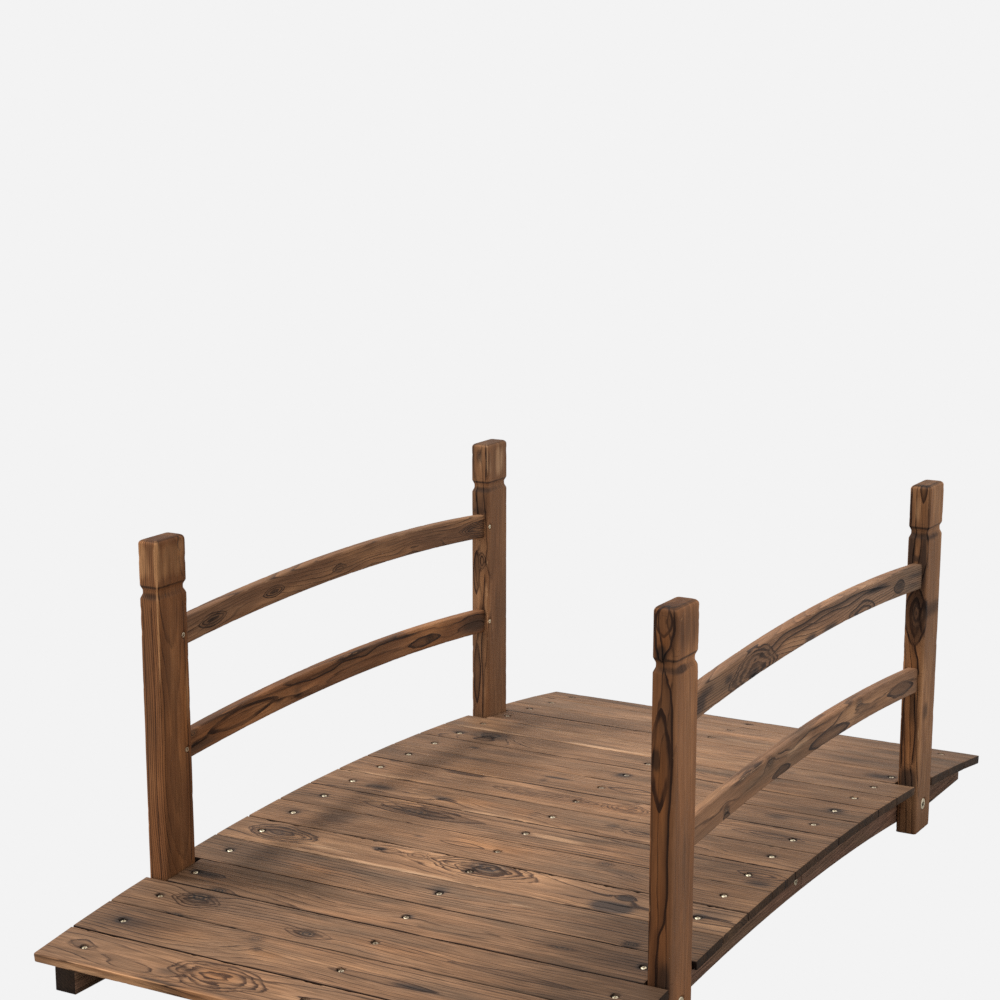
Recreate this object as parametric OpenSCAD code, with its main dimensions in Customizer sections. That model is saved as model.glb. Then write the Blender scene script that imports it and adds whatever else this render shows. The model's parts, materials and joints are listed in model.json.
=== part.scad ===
// Low arched garden footbridge of charred softwood: three arched beams on the ground,
// a deck of cross planks and a railing of two posts and two arched rails on each side.
// X runs along the bridge, Y to its left side and Z up. The origin is on the ground,
// under the middle of the deck.

/* [Deck] */
// Length of the deck over the ground, from end to end
deck_l = 1500; // [1400:10:1600]
// Width of the deck, from plank end to plank end
deck_w = 830; // [640:2:1000]
// Thickness of a plank
plank_t = 14; // [10:0.5:20]
// Gap between one plank and the next
plank_gap = 1.6; // [0.6:0.2:4]
// Rounding of a plank's long edges
plank_r = 2; // [0.5:0.5:4]
// Gap between the end of a shortened plank and the post beside it
notch_gap = 1.5; // [0.5:0.5:4]
// Gap between a post and the next whole plank toward the end of the deck
post_gap = 3.6; // [1:0.2:6]

/* [Arched beams] */
// Rise of the deck from its ends to its crown
arch_rise = 54.5; // [45:0.5:65]
// Clear height under the beams at the crown
clear_h = 33; // [26:1:50]
// Depth of a beam
beam_d = 55; // [48:1:62]
// Thickness of a beam
beam_t = 34; // [26:1:44]
// Distance that the end of a beam stays behind the end of the deck
beam_setback = 3; // [2:1:10]
// Length of the half lap that joins the near and far halves of a beam
lap_l = 52; // [40:2:80]
// Gap at each shoulder of the half lap
lap_gap = 0.5; // [0.2:0.1:1]

/* [Posts] */
// Height of a post above the ground
post_h = 572; // [520:1:640]
// Width of a post along the bridge
post_w = 68; // [56:1:76]
// Thickness of a post across the bridge
post_t = 34; // [28:1:40]
// Distance from the middle of the bridge to the outer edge of a post
post_reach = 497; // [480:1:520]
// Rounding of a post's upright edges
post_r = 4.5; // [1:0.5:7]
// Rounding of the edges round a post's top
top_r = 6; // [1:0.5:8]
// Height of the head above the middle of the groove
head_h = 74.5; // [50:0.5:90]
// Height of the groove round the head
groove_w = 19; // [12:1:26]
// Height of the flat bottom of the groove
groove_flat = 5.5; // [2:0.5:9]
// Depth of the groove round the head
groove_depth = 3; // [2:0.5:6]

/* [Rails] */
// Depth of a rail
rail_d = 40; // [32:1:50]
// Thickness of a rail
rail_t = 18; // [14:1:24]
// Rounding of a rail's long edges
rail_r = 4.5; // [1:0.5:6]
// Rise of a rail between its two posts
rail_rise = 19; // [10:0.5:30]
// Distance from the top of the posts down to the crown of the upper rail
upper_drop = 105; // [100:1:130]
// Distance from the top of the posts down to the crown of the lower rail
lower_drop = 275; // [240:1:310]
// Depth of the housing that takes the end of a rail
housing_depth = 22; // [15:1:34]
// Play of a rail on each side of its housing
rail_fit = 0.3; // [0.1:0.1:0.8]
// Play over and under a rail in its housing
housing_play = 1.5; // [0.5:0.5:3]

/* [Bolts] */
// Diameter of a bolt hole
bolt_hole = 8.5; // [6.5:0.5:12]
// Height of the bolts that hold the posts above the ground
post_bolt_h = 43; // [36:1:46]
// Height of a lap's bolt above the underside of its beam
lap_bolt_h = 20; // [18:1:30]

/* [Hidden] */
// Whole planks between the two shortened ones at the posts, and beyond each of those
inner_n = 10;
outer_n = 3;
plank_n = inner_n + 2 + 2 * outer_n;
plank_names = [for (i = [1 : plank_n]) str("plank_", i < 10 ? "0" : "", i)];

near = -1;
far = 1;
left = 1;
middle = 0;
right = -1;

plank_colour = "#7d5c41";
beam_colour = "#5f4331";
post_colour = "#6a4733";
rail_colour = "#73553d";

// Sides of a full circle for the wide arcs of the arch, and for holes
arch_fn = 1440;
hole_fn = 48;
corner_steps = 4;
// Extra length of a cutter past the face that it cuts
over = 1;

// Arch of the deck: one arc through both ends, which the top of each plank touches
deck_r = (pow(deck_l / 2, 2) + pow(arch_rise, 2)) / (2 * arch_rise);

// Turns about the centre of the arch, from the crown: out to the joint beyond the posts,
// which the shortened planks end at, and out to the end of the deck
joint_turn = asin((post_reach + post_gap + plank_gap / 2) / deck_r);
end_turn = asin((deck_l + plank_gap) / 2 / deck_r);
inner_turn = joint_turn / (inner_n / 2 + 1);
outer_turn = (end_turn - joint_turn) / outer_n;

// Beams: concentric with the deck, so that each plank rests on them at its middle,
// and the outer ones against the inner faces of the posts
beam_top_r = deck_r - plank_t;
beam_low_r = beam_top_r - beam_d;
beam_end = deck_l / 2 - beam_setback;
beam_y = deck_w / 2 - post_t - beam_t / 2;
lap_bolt_z = clear_h + lap_bolt_h;
arch_z = clear_h - beam_low_r;
crown_z = arch_z + deck_r;

// Posts: their outer faces are flush with the plank ends
post_x = post_reach - post_w / 2;
post_y = (deck_w - post_t) / 2;
post_facing_x = post_reach - post_w;
groove_z = post_h - head_h;

// Rails: arcs whose top rises by rail_rise between the facing sides of the posts
rail_top_r = (pow(post_facing_x, 2) + pow(rail_rise, 2)) / (2 * rail_rise);
rail_low_r = rail_top_r - rail_d;
rail_end = post_facing_x + housing_depth - rail_fit;
upper_rail_z = post_h - upper_drop;
lower_rail_z = post_h - lower_drop;

// Height at x of an arc of radius r whose crown is at height z
function arc_height(z, r, x) = z - r + sqrt(r * r - x * x);

// Rectangle w by h round the origin, with its corners rounded by r
function rounded_rectangle(w, h, r) = [
    for (corner = [0 : 3], step = [0 : corner_steps])
        let (turn = 90 * (corner + step / corner_steps),
             side_x = corner == 0 || corner == 3 ? 1 : -1,
             side_y = corner < 2 ? 1 : -1)
            [side_x * (w / 2 - r) + r * cos(turn), side_y * (h / 2 - r) + r * sin(turn)]
];

// Planks from the crown out to the middle of plank i, counted from the near end
function rank_of(i) = abs(i - (plank_n + 1) / 2);

// True where plank i lies between two posts, and so is shortened
function at_posts(i) = rank_of(i) == (inner_n + 1) / 2;

// Turn that plank i spans about the centre of the arch
function span_of(i) = rank_of(i) > (inner_n + 1) / 2 ? outer_turn : inner_turn;

// Turn of plank i about the centre of the arch, upright at the crown
function turn_of(i) =
    let (beyond = max(0, rank_of(i) - inner_n / 2 - 1),
         within = rank_of(i) - beyond)
            sign(i - (plank_n + 1) / 2) * (within * inner_turn + beyond * outer_turn);

// Plank i, square to the arch where it lies
module plank(i) {
    width = 2 * deck_r * tan(span_of(i) / 2) - plank_gap;
    length = at_posts(i) ? deck_w - 2 * (post_t + notch_gap) : deck_w;
    color(plank_colour)
        translate([0, 0, arch_z])
            rotate([0, turn_of(i), 0])
                translate([0, length / 2, deck_r - plank_t / 2])
                    rotate([90, 0, 0])
                        linear_extrude(length)
                            polygon(rounded_rectangle(width, plank_t, plank_r));
}

// Cylinder whose axis runs across the bridge through x and z
module cross_cylinder(x, z, r, length, sides) {
    translate([x, length / 2, z])
        rotate([90, 0, 0])
            cylinder(h = length, r = r, $fn = sides);
}

// Hole for a bolt that runs across the bridge
module bolt_bore(x, z) {
    cross_cylinder(x, z, bolt_hole / 2, beam_t + post_t, hole_fn);
}

// Whole beam about y = 0, arched on top and below and cut flat where it stands
module arched_beam() {
    intersection() {
        difference() {
            cross_cylinder(0, arch_z, beam_top_r, beam_t, arch_fn);
            cross_cylinder(0, arch_z, beam_low_r, beam_t + 2 * over, arch_fn);
        }
        translate([-beam_end, -beam_t, 0])
            cube([2 * beam_end, 2 * beam_t, crown_z]);
    }
}

// Space that one half of a beam takes: its own end and its tongue of the half lap,
// which lies on the side of the beam that tongue_side names
module half_space(end, tongue_side) {
    tongue_y = tongue_side > 0 ? 0 : -beam_t;
    mirror([end == near ? 1 : 0, 0, 0]) {
        translate([lap_l / 2, -beam_t, -over])
            cube([deck_l, 2 * beam_t, crown_z]);
        translate([lap_gap - lap_l / 2, tongue_y, -over])
            cube([deck_l, beam_t, crown_z]);
    }
}

// Near or far half of the left, middle or right beam
module beam(side, end) {
    outer_side = side == left ? left : right;
    color(beam_colour)
        translate([0, side * beam_y, 0])
            difference() {
                intersection() {
                    arched_beam();
                    half_space(end, end == near ? outer_side : -outer_side);
                }
                bolt_bore(0, lap_bolt_z);
                if (side != middle)
                    bolt_bore(end * post_x, post_bolt_h);
            }
}

// Board of a post: rounded upright edges, and rounded edges round the top
module post_board() {
    intersection() {
        linear_extrude(post_h)
            polygon(rounded_rectangle(post_w, post_t, post_r));
        translate([0, post_t, 0])
            rotate([90, 0, 0])
                linear_extrude(2 * post_t)
                    polygon(rounded_rectangle(post_w, 2 * post_h, top_r));
        translate([-post_w, 0, 0])
            rotate([90, 0, 90])
                linear_extrude(2 * post_w)
                    polygon(rounded_rectangle(post_t, 2 * post_h, top_r));
    }
}

// Stretch of groove in a face that lies reach from the middle of a post: a flat bottom
// between two slopes, which go on past the face
module face_groove(reach, length) {
    slope = (groove_w - groove_flat) / 2 / groove_depth;
    mouth = groove_w / 2 + slope * over;
    translate([0, length / 2, groove_z])
        rotate([90, 0, 0])
            linear_extrude(length)
                polygon([
                    [reach - groove_depth, -groove_flat / 2],
                    [reach + over, -mouth],
                    [reach + over, mouth],
                    [reach - groove_depth, groove_flat / 2],
                ]);
}

// Groove that runs round all four sides of a post under its head
module head_groove() {
    for (turn = [0, 180]) {
        rotate([0, 0, turn])
            face_groove(post_w / 2, post_t + 2 * over);
        rotate([0, 0, turn + 90])
            face_groove(post_t / 2, post_w + 2 * over);
    }
}

// Housing in a post for the end of the rail whose crown is at height z
module rail_housing(z) {
    low = arc_height(z - rail_d, rail_low_r, rail_end) - housing_play;
    high = arc_height(z, rail_top_r, post_facing_x) + housing_play;
    translate([-post_w / 2 - over, -rail_t / 2 - rail_fit, low])
        cube([housing_depth + over, rail_t + 2 * rail_fit, high - low]);
}

// Post at the near or far end of the left or right railing
module post(end, side) {
    color(post_colour)
        translate([end * post_x, side * post_y, 0])
            mirror([end == near ? 1 : 0, 0, 0])
                difference() {
                    post_board();
                    head_groove();
                    rail_housing(upper_rail_z);
                    rail_housing(lower_rail_z);
                    bolt_bore(0, post_bolt_h);
                }
}

// Rail of the left or right railing, bent to an arc whose crown is at height z
module rail(z, side) {
    half_turn = asin(rail_end / rail_low_r) + 1;
    color(rail_colour)
        translate([0, side * post_y, z - rail_top_r])
            intersection() {
                rotate([90, 0, 0])
                    rotate([0, 0, 90 - half_turn])
                        rotate_extrude(angle = 2 * half_turn, $fn = arch_fn)
                            translate([rail_top_r - rail_d / 2, 0])
                                polygon(rounded_rectangle(rail_d, rail_t, rail_r));
                translate([-rail_end, -rail_t, 0])
                    cube([2 * rail_end, 2 * rail_t, rail_top_r + over]);
            }
}

for (i = [1 : plank_n])
    plank(i);
beam(left, near);  // beam_left_near
beam(left, far);  // beam_left_far
beam(middle, near);  // beam_middle_near
beam(middle, far);  // beam_middle_far
beam(right, near);  // beam_right_near
beam(right, far);  // beam_right_far
post(near, left);  // post_near_left
post(near, right);  // post_near_right
post(far, left);  // post_far_left
post(far, right);  // post_far_right
rail(upper_rail_z, left);  // rail_upper_left
rail(upper_rail_z, right);  // rail_upper_right
rail(lower_rail_z, left);  // rail_lower_left
rail(lower_rail_z, right);  // rail_lower_right
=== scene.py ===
"""Looks of a low arched garden footbridge of charred and brushed softwood.

Everything is in metres, in the bridge's own frame: X runs along the bridge to its far end, Y to
its left side and Z up, and the origin is on the ground under the middle of the deck. Each board
is a closed mesh that stands for its plain solid in the frame, at the same place and size. It
carries its year rings, knots and burns as attributes, which one wood finish reads. Sizes and
places come from the frame's boxes. Marks on the wood are given in millimetres.
"""

from __future__ import annotations

import json
import logging
import math
from dataclasses import dataclass, field, replace
from enum import Enum
from functools import reduce
from pathlib import Path

import bmesh
import bpy
import numpy as np
from mathutils import Euler, Matrix, Vector
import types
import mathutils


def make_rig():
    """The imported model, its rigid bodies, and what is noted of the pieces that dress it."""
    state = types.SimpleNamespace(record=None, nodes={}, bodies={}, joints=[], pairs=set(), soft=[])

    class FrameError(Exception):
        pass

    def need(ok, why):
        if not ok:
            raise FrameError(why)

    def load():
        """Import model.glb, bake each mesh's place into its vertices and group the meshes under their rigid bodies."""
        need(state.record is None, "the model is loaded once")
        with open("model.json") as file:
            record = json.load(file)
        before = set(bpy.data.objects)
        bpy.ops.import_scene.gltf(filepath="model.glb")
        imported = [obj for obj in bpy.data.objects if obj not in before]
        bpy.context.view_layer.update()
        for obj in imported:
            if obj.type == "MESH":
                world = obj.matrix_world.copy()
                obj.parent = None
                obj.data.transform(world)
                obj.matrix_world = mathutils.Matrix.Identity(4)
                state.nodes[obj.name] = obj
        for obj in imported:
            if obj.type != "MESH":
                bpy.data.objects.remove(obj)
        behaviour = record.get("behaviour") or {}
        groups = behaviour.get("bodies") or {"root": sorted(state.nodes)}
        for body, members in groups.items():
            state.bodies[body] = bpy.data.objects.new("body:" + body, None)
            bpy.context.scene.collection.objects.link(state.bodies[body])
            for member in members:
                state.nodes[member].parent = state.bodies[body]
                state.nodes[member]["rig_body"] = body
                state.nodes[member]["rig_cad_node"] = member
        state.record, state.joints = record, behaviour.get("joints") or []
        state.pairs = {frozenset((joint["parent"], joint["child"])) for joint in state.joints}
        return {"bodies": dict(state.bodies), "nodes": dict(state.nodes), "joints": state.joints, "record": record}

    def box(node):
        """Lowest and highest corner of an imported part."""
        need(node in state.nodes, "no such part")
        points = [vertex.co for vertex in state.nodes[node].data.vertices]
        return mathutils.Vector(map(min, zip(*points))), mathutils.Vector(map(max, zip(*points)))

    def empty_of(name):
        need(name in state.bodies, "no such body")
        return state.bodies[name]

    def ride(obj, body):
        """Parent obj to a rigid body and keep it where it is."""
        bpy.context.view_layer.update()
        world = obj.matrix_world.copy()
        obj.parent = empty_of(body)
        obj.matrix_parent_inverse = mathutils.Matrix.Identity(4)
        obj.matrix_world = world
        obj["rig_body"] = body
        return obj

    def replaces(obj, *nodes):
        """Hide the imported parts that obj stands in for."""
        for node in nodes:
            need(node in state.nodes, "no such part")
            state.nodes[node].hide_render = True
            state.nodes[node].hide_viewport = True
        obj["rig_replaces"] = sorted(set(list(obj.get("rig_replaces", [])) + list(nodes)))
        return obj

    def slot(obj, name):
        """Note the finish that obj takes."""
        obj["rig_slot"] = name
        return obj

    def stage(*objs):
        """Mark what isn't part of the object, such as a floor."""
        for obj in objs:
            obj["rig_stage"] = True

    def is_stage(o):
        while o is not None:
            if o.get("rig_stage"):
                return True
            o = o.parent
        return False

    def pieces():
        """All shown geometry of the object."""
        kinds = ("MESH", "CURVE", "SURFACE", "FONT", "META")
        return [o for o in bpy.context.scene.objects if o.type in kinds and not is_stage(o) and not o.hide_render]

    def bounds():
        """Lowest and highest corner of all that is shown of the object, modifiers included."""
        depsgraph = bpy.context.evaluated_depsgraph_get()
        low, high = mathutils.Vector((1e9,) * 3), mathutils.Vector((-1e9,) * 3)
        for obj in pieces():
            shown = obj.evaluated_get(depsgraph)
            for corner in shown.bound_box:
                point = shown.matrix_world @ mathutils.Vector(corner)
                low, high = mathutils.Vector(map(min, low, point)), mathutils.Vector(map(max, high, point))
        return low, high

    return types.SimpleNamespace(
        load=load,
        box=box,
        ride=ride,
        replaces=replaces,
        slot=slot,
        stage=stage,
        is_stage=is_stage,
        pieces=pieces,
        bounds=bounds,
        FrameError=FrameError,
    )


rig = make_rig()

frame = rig.load()

Finish = bpy.types.Material
Piece = bpy.types.Object
Shape = bmesh.types.BMesh
Socket = bpy.types.NodeSocket
Colour = tuple[float, float, float]
Feed = Socket | float | tuple[float, ...]

LOG = logging.getLogger("footbridge")
SIZE_FILE = Path("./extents.json")
BODY = "root"
MM = 0.001
TINY = 1e-6
# Angle past which an edge of a piece stays sharp.
SHARP = math.radians(40.0)
# How many waves a ripple adds up.
WAVES = 5
# Distance from a knot or an eye, in its radii, that is well beyond it.
BEYOND = 9.0
# Distance that stands for no eye or vein at all.
NONE = 90.0
# Share of a mark below which a point is taken to be away from the mark's face.
OFF_FACE = 0.4
# How far apart two boards may lie in the patterns of the finish, in metres.
PATTERN_SPREAD = 9.0


class Axis(Enum):
    """A direction along, across or through a board, or along X, Y or Z."""

    X = 0
    Y = 1
    Z = 2

    @property
    def vector(self) -> Vector:
        """The unit vector of the direction."""
        return Vector([1.0 if i == self.value else 0.0 for i in range(3)])


class Burn(Enum):
    """How the flame left a board: its brightness, its warmth from grey to orange, its redness."""

    PLAIN = (1.0, 0.50, 0.2)
    LIGHT = (1.14, 0.66, 0.1)
    WARM = (1.0, 0.70, 0.4)
    RED = (0.95, 0.55, 1.0)
    GREY = (0.92, 0.30, 0.15)
    DARK = (0.78, 0.34, 0.3)


class Side(Enum):
    """A side of the bridge."""

    LEFT = "left"
    RIGHT = "right"

    @property
    def sign(self) -> int:
        """1 for the left side and -1 for the right one."""
        return 1 if self is Side.LEFT else -1


class NodeBench:
    """Wires the nodes of one material."""

    def __init__(self, name: str) -> None:
        """Starts an empty material.

        Args:
            name: Name of the material.
        """
        self.material = bpy.data.materials.new(name)
        self.material.use_nodes = True
        self.nodes = self.material.node_tree.nodes
        self.links = self.material.node_tree.links
        self.nodes.clear()

    def add(self, kind: str, feeds: dict[int | str, Feed], **settings: object) -> bpy.types.Node:
        """Adds a node, sets its options and feeds its inputs.

        Args:
            kind: Node type without its ShaderNode prefix.
            feeds: Sockets or plain values, by input name or number.
            **settings: Options of the node.

        Returns:
            The new node.
        """
        node = self.nodes.new("ShaderNode" + kind)
        for key, value in settings.items():
            setattr(node, key, value)
        for key, value in feeds.items():
            if isinstance(value, Socket):
                self.links.new(value, node.inputs[key])
            else:
                node.inputs[key].default_value = value
        return node

    def attribute(self, name: str) -> Socket:
        """A vector attribute of the piece."""
        return self.add("Attribute", {}, attribute_name=name).outputs["Vector"]

    def split(self, vector: Feed) -> tuple[Socket, ...]:
        """The three numbers of a vector."""
        return tuple(self.add("SeparateXYZ", {0: vector}).outputs)

    def math(self, operation: str, *values: Feed, clamp: bool = False) -> Socket:
        """A sum of one to three numbers, by the name of the operation."""
        node = self.add("Math", dict(enumerate(values)), operation=operation, use_clamp=clamp)
        return node.outputs[0]

    def product(self, first: Feed, *others: Feed) -> Feed:
        """Numbers multiplied with each other, from the first on."""
        return reduce(lambda done, other: self.math("MULTIPLY", done, other), others, first)

    def scaled(self, value: Feed, by: Feed, plus: Feed, clamp: bool = False) -> Socket:
        """A number times another one, plus a third."""
        return self.math("MULTIPLY_ADD", value, by, plus, clamp=clamp)

    def stirred(self, value: Feed, noise: Feed, by: float, clamp: bool = False) -> Socket:
        """A number that a noise pushes up and down."""
        return self.scaled(self.math("SUBTRACT", noise, 0.5), by, value, clamp)

    def mixed(self, share: Feed, first: Feed, second: Feed, how: str = "MIX") -> Socket:
        """Two colours blended by a share.

        Args:
            share: 0 gives the first colour and 1 the blend with the second.
            first: Colour below.
            second: Colour above.
            how: Blend type.

        Returns:
            The blended colour.
        """
        node = self.add("Mix", {0: share}, data_type="RGBA", blend_type=how)
        for slot, colour in ((6, first), (7, second)):
            if isinstance(colour, Socket):
                self.links.new(colour, node.inputs[slot])
            else:
                node.inputs[slot].default_value = (*colour, 1.0)
        return node.outputs[2]

    def ramp(self, value: Feed, low: float, high: float, to_low: float = 0.0, to_high: float = 1.0) -> Socket:
        """A smooth step from one value to another.

        Args:
            value: Number that is mapped.
            low: Value at which the step starts.
            high: Value at which the step ends.
            to_low: Result up to low.
            to_high: Result from high on.

        Returns:
            The mapped number.
        """
        feeds = {0: value, 1: low, 2: high, 3: to_low, 4: to_high}
        return self.add("MapRange", feeds, interpolation_type="SMOOTHSTEP").outputs[0]

    def noise(self, place: Feed, scale: tuple[float, float, float], detail: float = 2.0) -> Socket:
        """Noise from 0 to 1 about 0.5, stretched by a scale along each direction.

        Args:
            place: Position that the noise reads.
            scale: Features per metre along each direction.
            detail: Octaves of finer noise.

        Returns:
            The noise.
        """
        stretched = self.add("VectorMath", {0: place, 1: scale}, operation="MULTIPLY").outputs[0]
        feeds = {"Vector": stretched, "Scale": 1.0, "Detail": detail}
        return self.add("TexNoise", feeds).outputs["Fac"]

    def finish(self, feeds: dict[int | str, Feed], height: Feed | None = None, relief: float = 0.0) -> Finish:
        """Ends the tree with the surface shader.

        Args:
            feeds: Inputs of the surface shader.
            height: Height of the fine relief, from 0 to 1.
            relief: Depth of that relief in metres.

        Returns:
            The finished material.
        """
        if height is not None:
            bump = self.add("Bump", {"Height": height, "Distance": relief, "Strength": 1.0})
            feeds = {**feeds, "Normal": bump.outputs[0]}
        surface = self.add("BsdfPrincipled", feeds)
        self.add("OutputMaterial", {0: surface.outputs[0]})
        return self.material


class Pattern(Enum):
    """How fine a pattern in the wood is: its features per metre along and across the grain, its octaves.

    SWAY and FLUTTER bend the year rings and HOLD fades them. BEND, FRAY and GRIP do the same to the
    outlines of eyes, and SHAKE bends the veins.
    """

    SWAY = (3.5, 30.0, 2.0)
    FLUTTER = (22.0, 240.0, 2.0)
    HOLD = (5.0, 60.0, 2.0)
    BEND = (14.0, 45.0, 2.0)
    FRAY = (60.0, 300.0, 2.0)
    GRIP = (16.0, 70.0, 2.0)
    SHAKE = (18.0, 50.0, 2.0)
    CLOUD = (3.5, 14.0, 3.0)
    PATCH = (9.0, 60.0, 3.0)
    STREAK = (8.0, 330.0, 4.0)
    FIBRE = (30.0, 900.0, 3.0)
    HUE = (6.0, 32.0, 3.0)

    def noise(self, bench: NodeBench, place: Feed) -> Socket:
        """The pattern as noise about 0.5, at a place on a board."""
        along, across, detail = self.value
        return bench.noise(place, (along, across, across), detail)


@dataclass(frozen=True)
class CharredFir:
    """Softwood that was burnt with a flame and brushed, so that its late wood stands dark.

    Attributes:
        name: Name of the material.
        ends: Direction in which the boards run, whose end grain is darker.
        early: Colour of the soft part of a year ring.
        late: Colour of its hard, dark part.
        warm: Colour of early wood that the flame only warmed.
        grey: Colour of early wood that it dulled.
        char: Colour of burnt patches.
        worn: Colour of edges that were brushed bare, also that of the painted highlights.
        shade: Brightness of the whole board.
        contrast: Darkness of the year rings.
        soft: Share of a ring that its early wood fills before it starts to darken.
        bold: Share of the width of an eye's outline at which it is fully dark.
        torn: How much the fibres tear the rims of burnt patches.
        coarse: Strength of the fibres.
        motley: How much the redness wanders.
        end_grain_and_shade: Share of the light that end grain sends back: its own darkness, and partly painted shade
            on ends turned from the light.
        relief: Depth of the brushed relief.
        roughness: Roughness of the wood between its lines.
    """

    name: str
    ends: Axis
    early: Colour = (0.215, 0.120, 0.067)
    late: Colour = (0.047, 0.023, 0.013)
    warm: Colour = (0.285, 0.158, 0.083)
    grey: Colour = (0.165, 0.101, 0.062)
    char: Colour = (0.041, 0.036, 0.035)
    worn: Colour = (0.420, 0.262, 0.155)
    shade: float = 1.0
    contrast: float = 1.0
    soft: float = 0.42
    bold: float = 0.74
    torn: float = 0.6
    coarse: float = 1.2
    motley: float = 1.05
    end_grain_and_shade: float = 0.38
    relief: float = 0.0007
    roughness: float = 0.68

    def lines(self, bench: NodeBench, rings: Feed, burnt: Feed, place: Feed) -> tuple[Feed, Feed]:
        """The dark lines of the late wood.

        Args:
            bench: Nodes of the material.
            rings: Year rings counted from the pith.
            burnt: How strongly the board is burnt.
            place: Position along, across and through the board.

        Returns:
            Darkness of the lines, from 0 to 1, and brightness of the early wood between them.
        """
        phase = bench.scaled(Pattern.SWAY.noise(bench, place), 1.6, rings)
        phase = bench.scaled(Pattern.FLUTTER.noise(bench, place), 0.4, phase)
        part = bench.math("FRACT", phase)
        ring = bench.math("FLOOR", phase)
        chance = bench.add("TexWhiteNoise", {"W": ring}, noise_dimensions="1D").outputs["Value"]
        start = bench.scaled(chance, 0.34, self.soft)
        rise = bench.add("MapRange", {0: part, 1: start, 2: 0.93},
                         interpolation_type="SMOOTHERSTEP").outputs[0]
        line = bench.product(rise, bench.ramp(part, 0.94, 1.0, 1.0, 0.0))
        held = bench.ramp(Pattern.HOLD.noise(bench, place), 0.30, 0.62, 0.25, 1.0)
        strength = bench.product(held, bench.scaled(chance, -0.45, 1.0))
        strength = bench.scaled(burnt, 0.9, strength, clamp=True)
        early = bench.ramp(part, 0.0, 0.45, 1.10, 0.96)
        return bench.product(bench.math("POWER", line, 2.6), strength), early

    def outlines(self, bench: NodeBench, place: Feed, ink: Feed, beyond: Feed) -> Feed:
        """The dark outlines of the nearest eye and the shade inside it.

        Args:
            bench: Nodes of the material.
            place: Position along, across and through the board.
            ink: How dark the eye is inside.
            beyond: How far the place is out of the eye: 1 is on its outline.

        Returns:
            Darkness from 0 to 1.
        """
        along, across, turns = bench.split(bench.attribute("eye"))
        blunt = bench.math("SQRT", bench.scaled(across, across, Eye.BLUNT))
        out = bench.stirred(bench.scaled(along, along, blunt), Pattern.BEND.noise(bench, place), 0.7)
        out = bench.scaled(Pattern.FRAY.noise(bench, place), 0.12, out)
        part = bench.math("FRACT", bench.product(out, turns))
        edge = bench.math("MAXIMUM", bench.scaled(turns, -0.14, 0.60), 0.12)
        part = bench.add("MapRange", {0: part, 1: edge, 2: 1.0}).outputs[0]
        dark = bench.math("POWER", bench.ramp(part, 0.0, self.bold), 2.0)
        held = bench.ramp(Pattern.GRIP.noise(bench, place), 0.3, 0.6, 0.55, 1.0)
        dark = bench.product(dark, bench.ramp(part, 0.94, 1.0, 1.0, 0.0), held)
        dark = bench.math("MAXIMUM", dark, bench.product(bench.ramp(out, 0.0, 0.95, 0.45, 1.0), ink))
        inside = bench.ramp(out, 0.97, 1.01, 1.0, 0.0)
        return bench.product(inside, bench.ramp(beyond, 1.25, 1.45, 1.0, 0.0), dark)

    def veins(self, bench: NodeBench, place: Feed) -> Feed:
        """Single dark lines, sharp on one side and fading on the other.

        Args:
            bench: Nodes of the material.
            place: Position along, across and through the board.

        Returns:
            Darkness from 0 to 1.
        """
        shake = Pattern.SHAKE.noise(bench, place)
        dark: Feed = 0.0
        for away in bench.split(bench.attribute("veins")):
            away = bench.stirred(away, shake, 1.8)
            core = bench.math("SUBTRACT", 1.0, bench.ramp(bench.math("ABSOLUTE", away), 0.6, 1.15))
            fading = bench.product(bench.ramp(away, 0.0, 6.0, 0.6, 0.0),
                                   bench.math("GREATER_THAN", away, 0.0))
            dark = bench.math("MAXIMUM", dark, bench.math("MAXIMUM", core, fading))
        return dark

    def knots(self, bench: NodeBench, wood: Feed, streak: Feed) -> Feed:
        """The wood with its knots.

        Args:
            bench: Nodes of the material.
            wood: Colour of the wood.
            streak: Noise that tears the knots' outlines.

        Returns:
            Colour of the wood, of the cores with their rings and of the dark wood round them.
        """
        knot = bench.attribute("knot")
        held = bench.split(knot)[2]
        flat = bench.add("VectorMath", {0: knot, 1: (1.0, 1.0, 0.0)}, operation="MULTIPLY").outputs[0]
        reach = bench.add("VectorMath", {0: flat}, operation="LENGTH").outputs["Value"]
        reach = bench.stirred(reach, streak, 0.6)
        core = bench.product(bench.ramp(reach, 0.80, 1.08, 0.85, 0.0), held)
        halo = bench.product(bench.ramp(reach, 0.9, 2.0, 0.5, 0.0), held)
        turns = bench.math("PINGPONG", bench.product(reach, 4.0), 1.0)
        heart = bench.mixed(bench.ramp(turns, 0.25, 0.75), self.char, self.grey)
        return bench.mixed(core, bench.mixed(halo, wood, self.late), heart)

    def material(self) -> Finish:
        """Builds the material.

        Returns:
            The material.
        """
        bench = NodeBench(self.name)
        place = bench.attribute("grain")
        rings, burnt, wear = bench.split(bench.attribute("marks"))
        brightness, warmth, redness = bench.split(bench.attribute("tone"))
        clear, ink, beyond = bench.split(bench.attribute("figure"))
        cloud, patch, streak, fibre, hue = (pattern.noise(bench, place) for pattern in (
            Pattern.CLOUD, Pattern.PATCH, Pattern.STREAK, Pattern.FIBRE, Pattern.HUE))

        line, early = self.lines(bench, rings, burnt, place)
        line = bench.product(clear, self.contrast, line)
        line = bench.math("MAXIMUM", line, self.outlines(bench, place, ink, beyond))
        line = bench.math("MAXIMUM", line, self.veins(bench, place))

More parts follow.
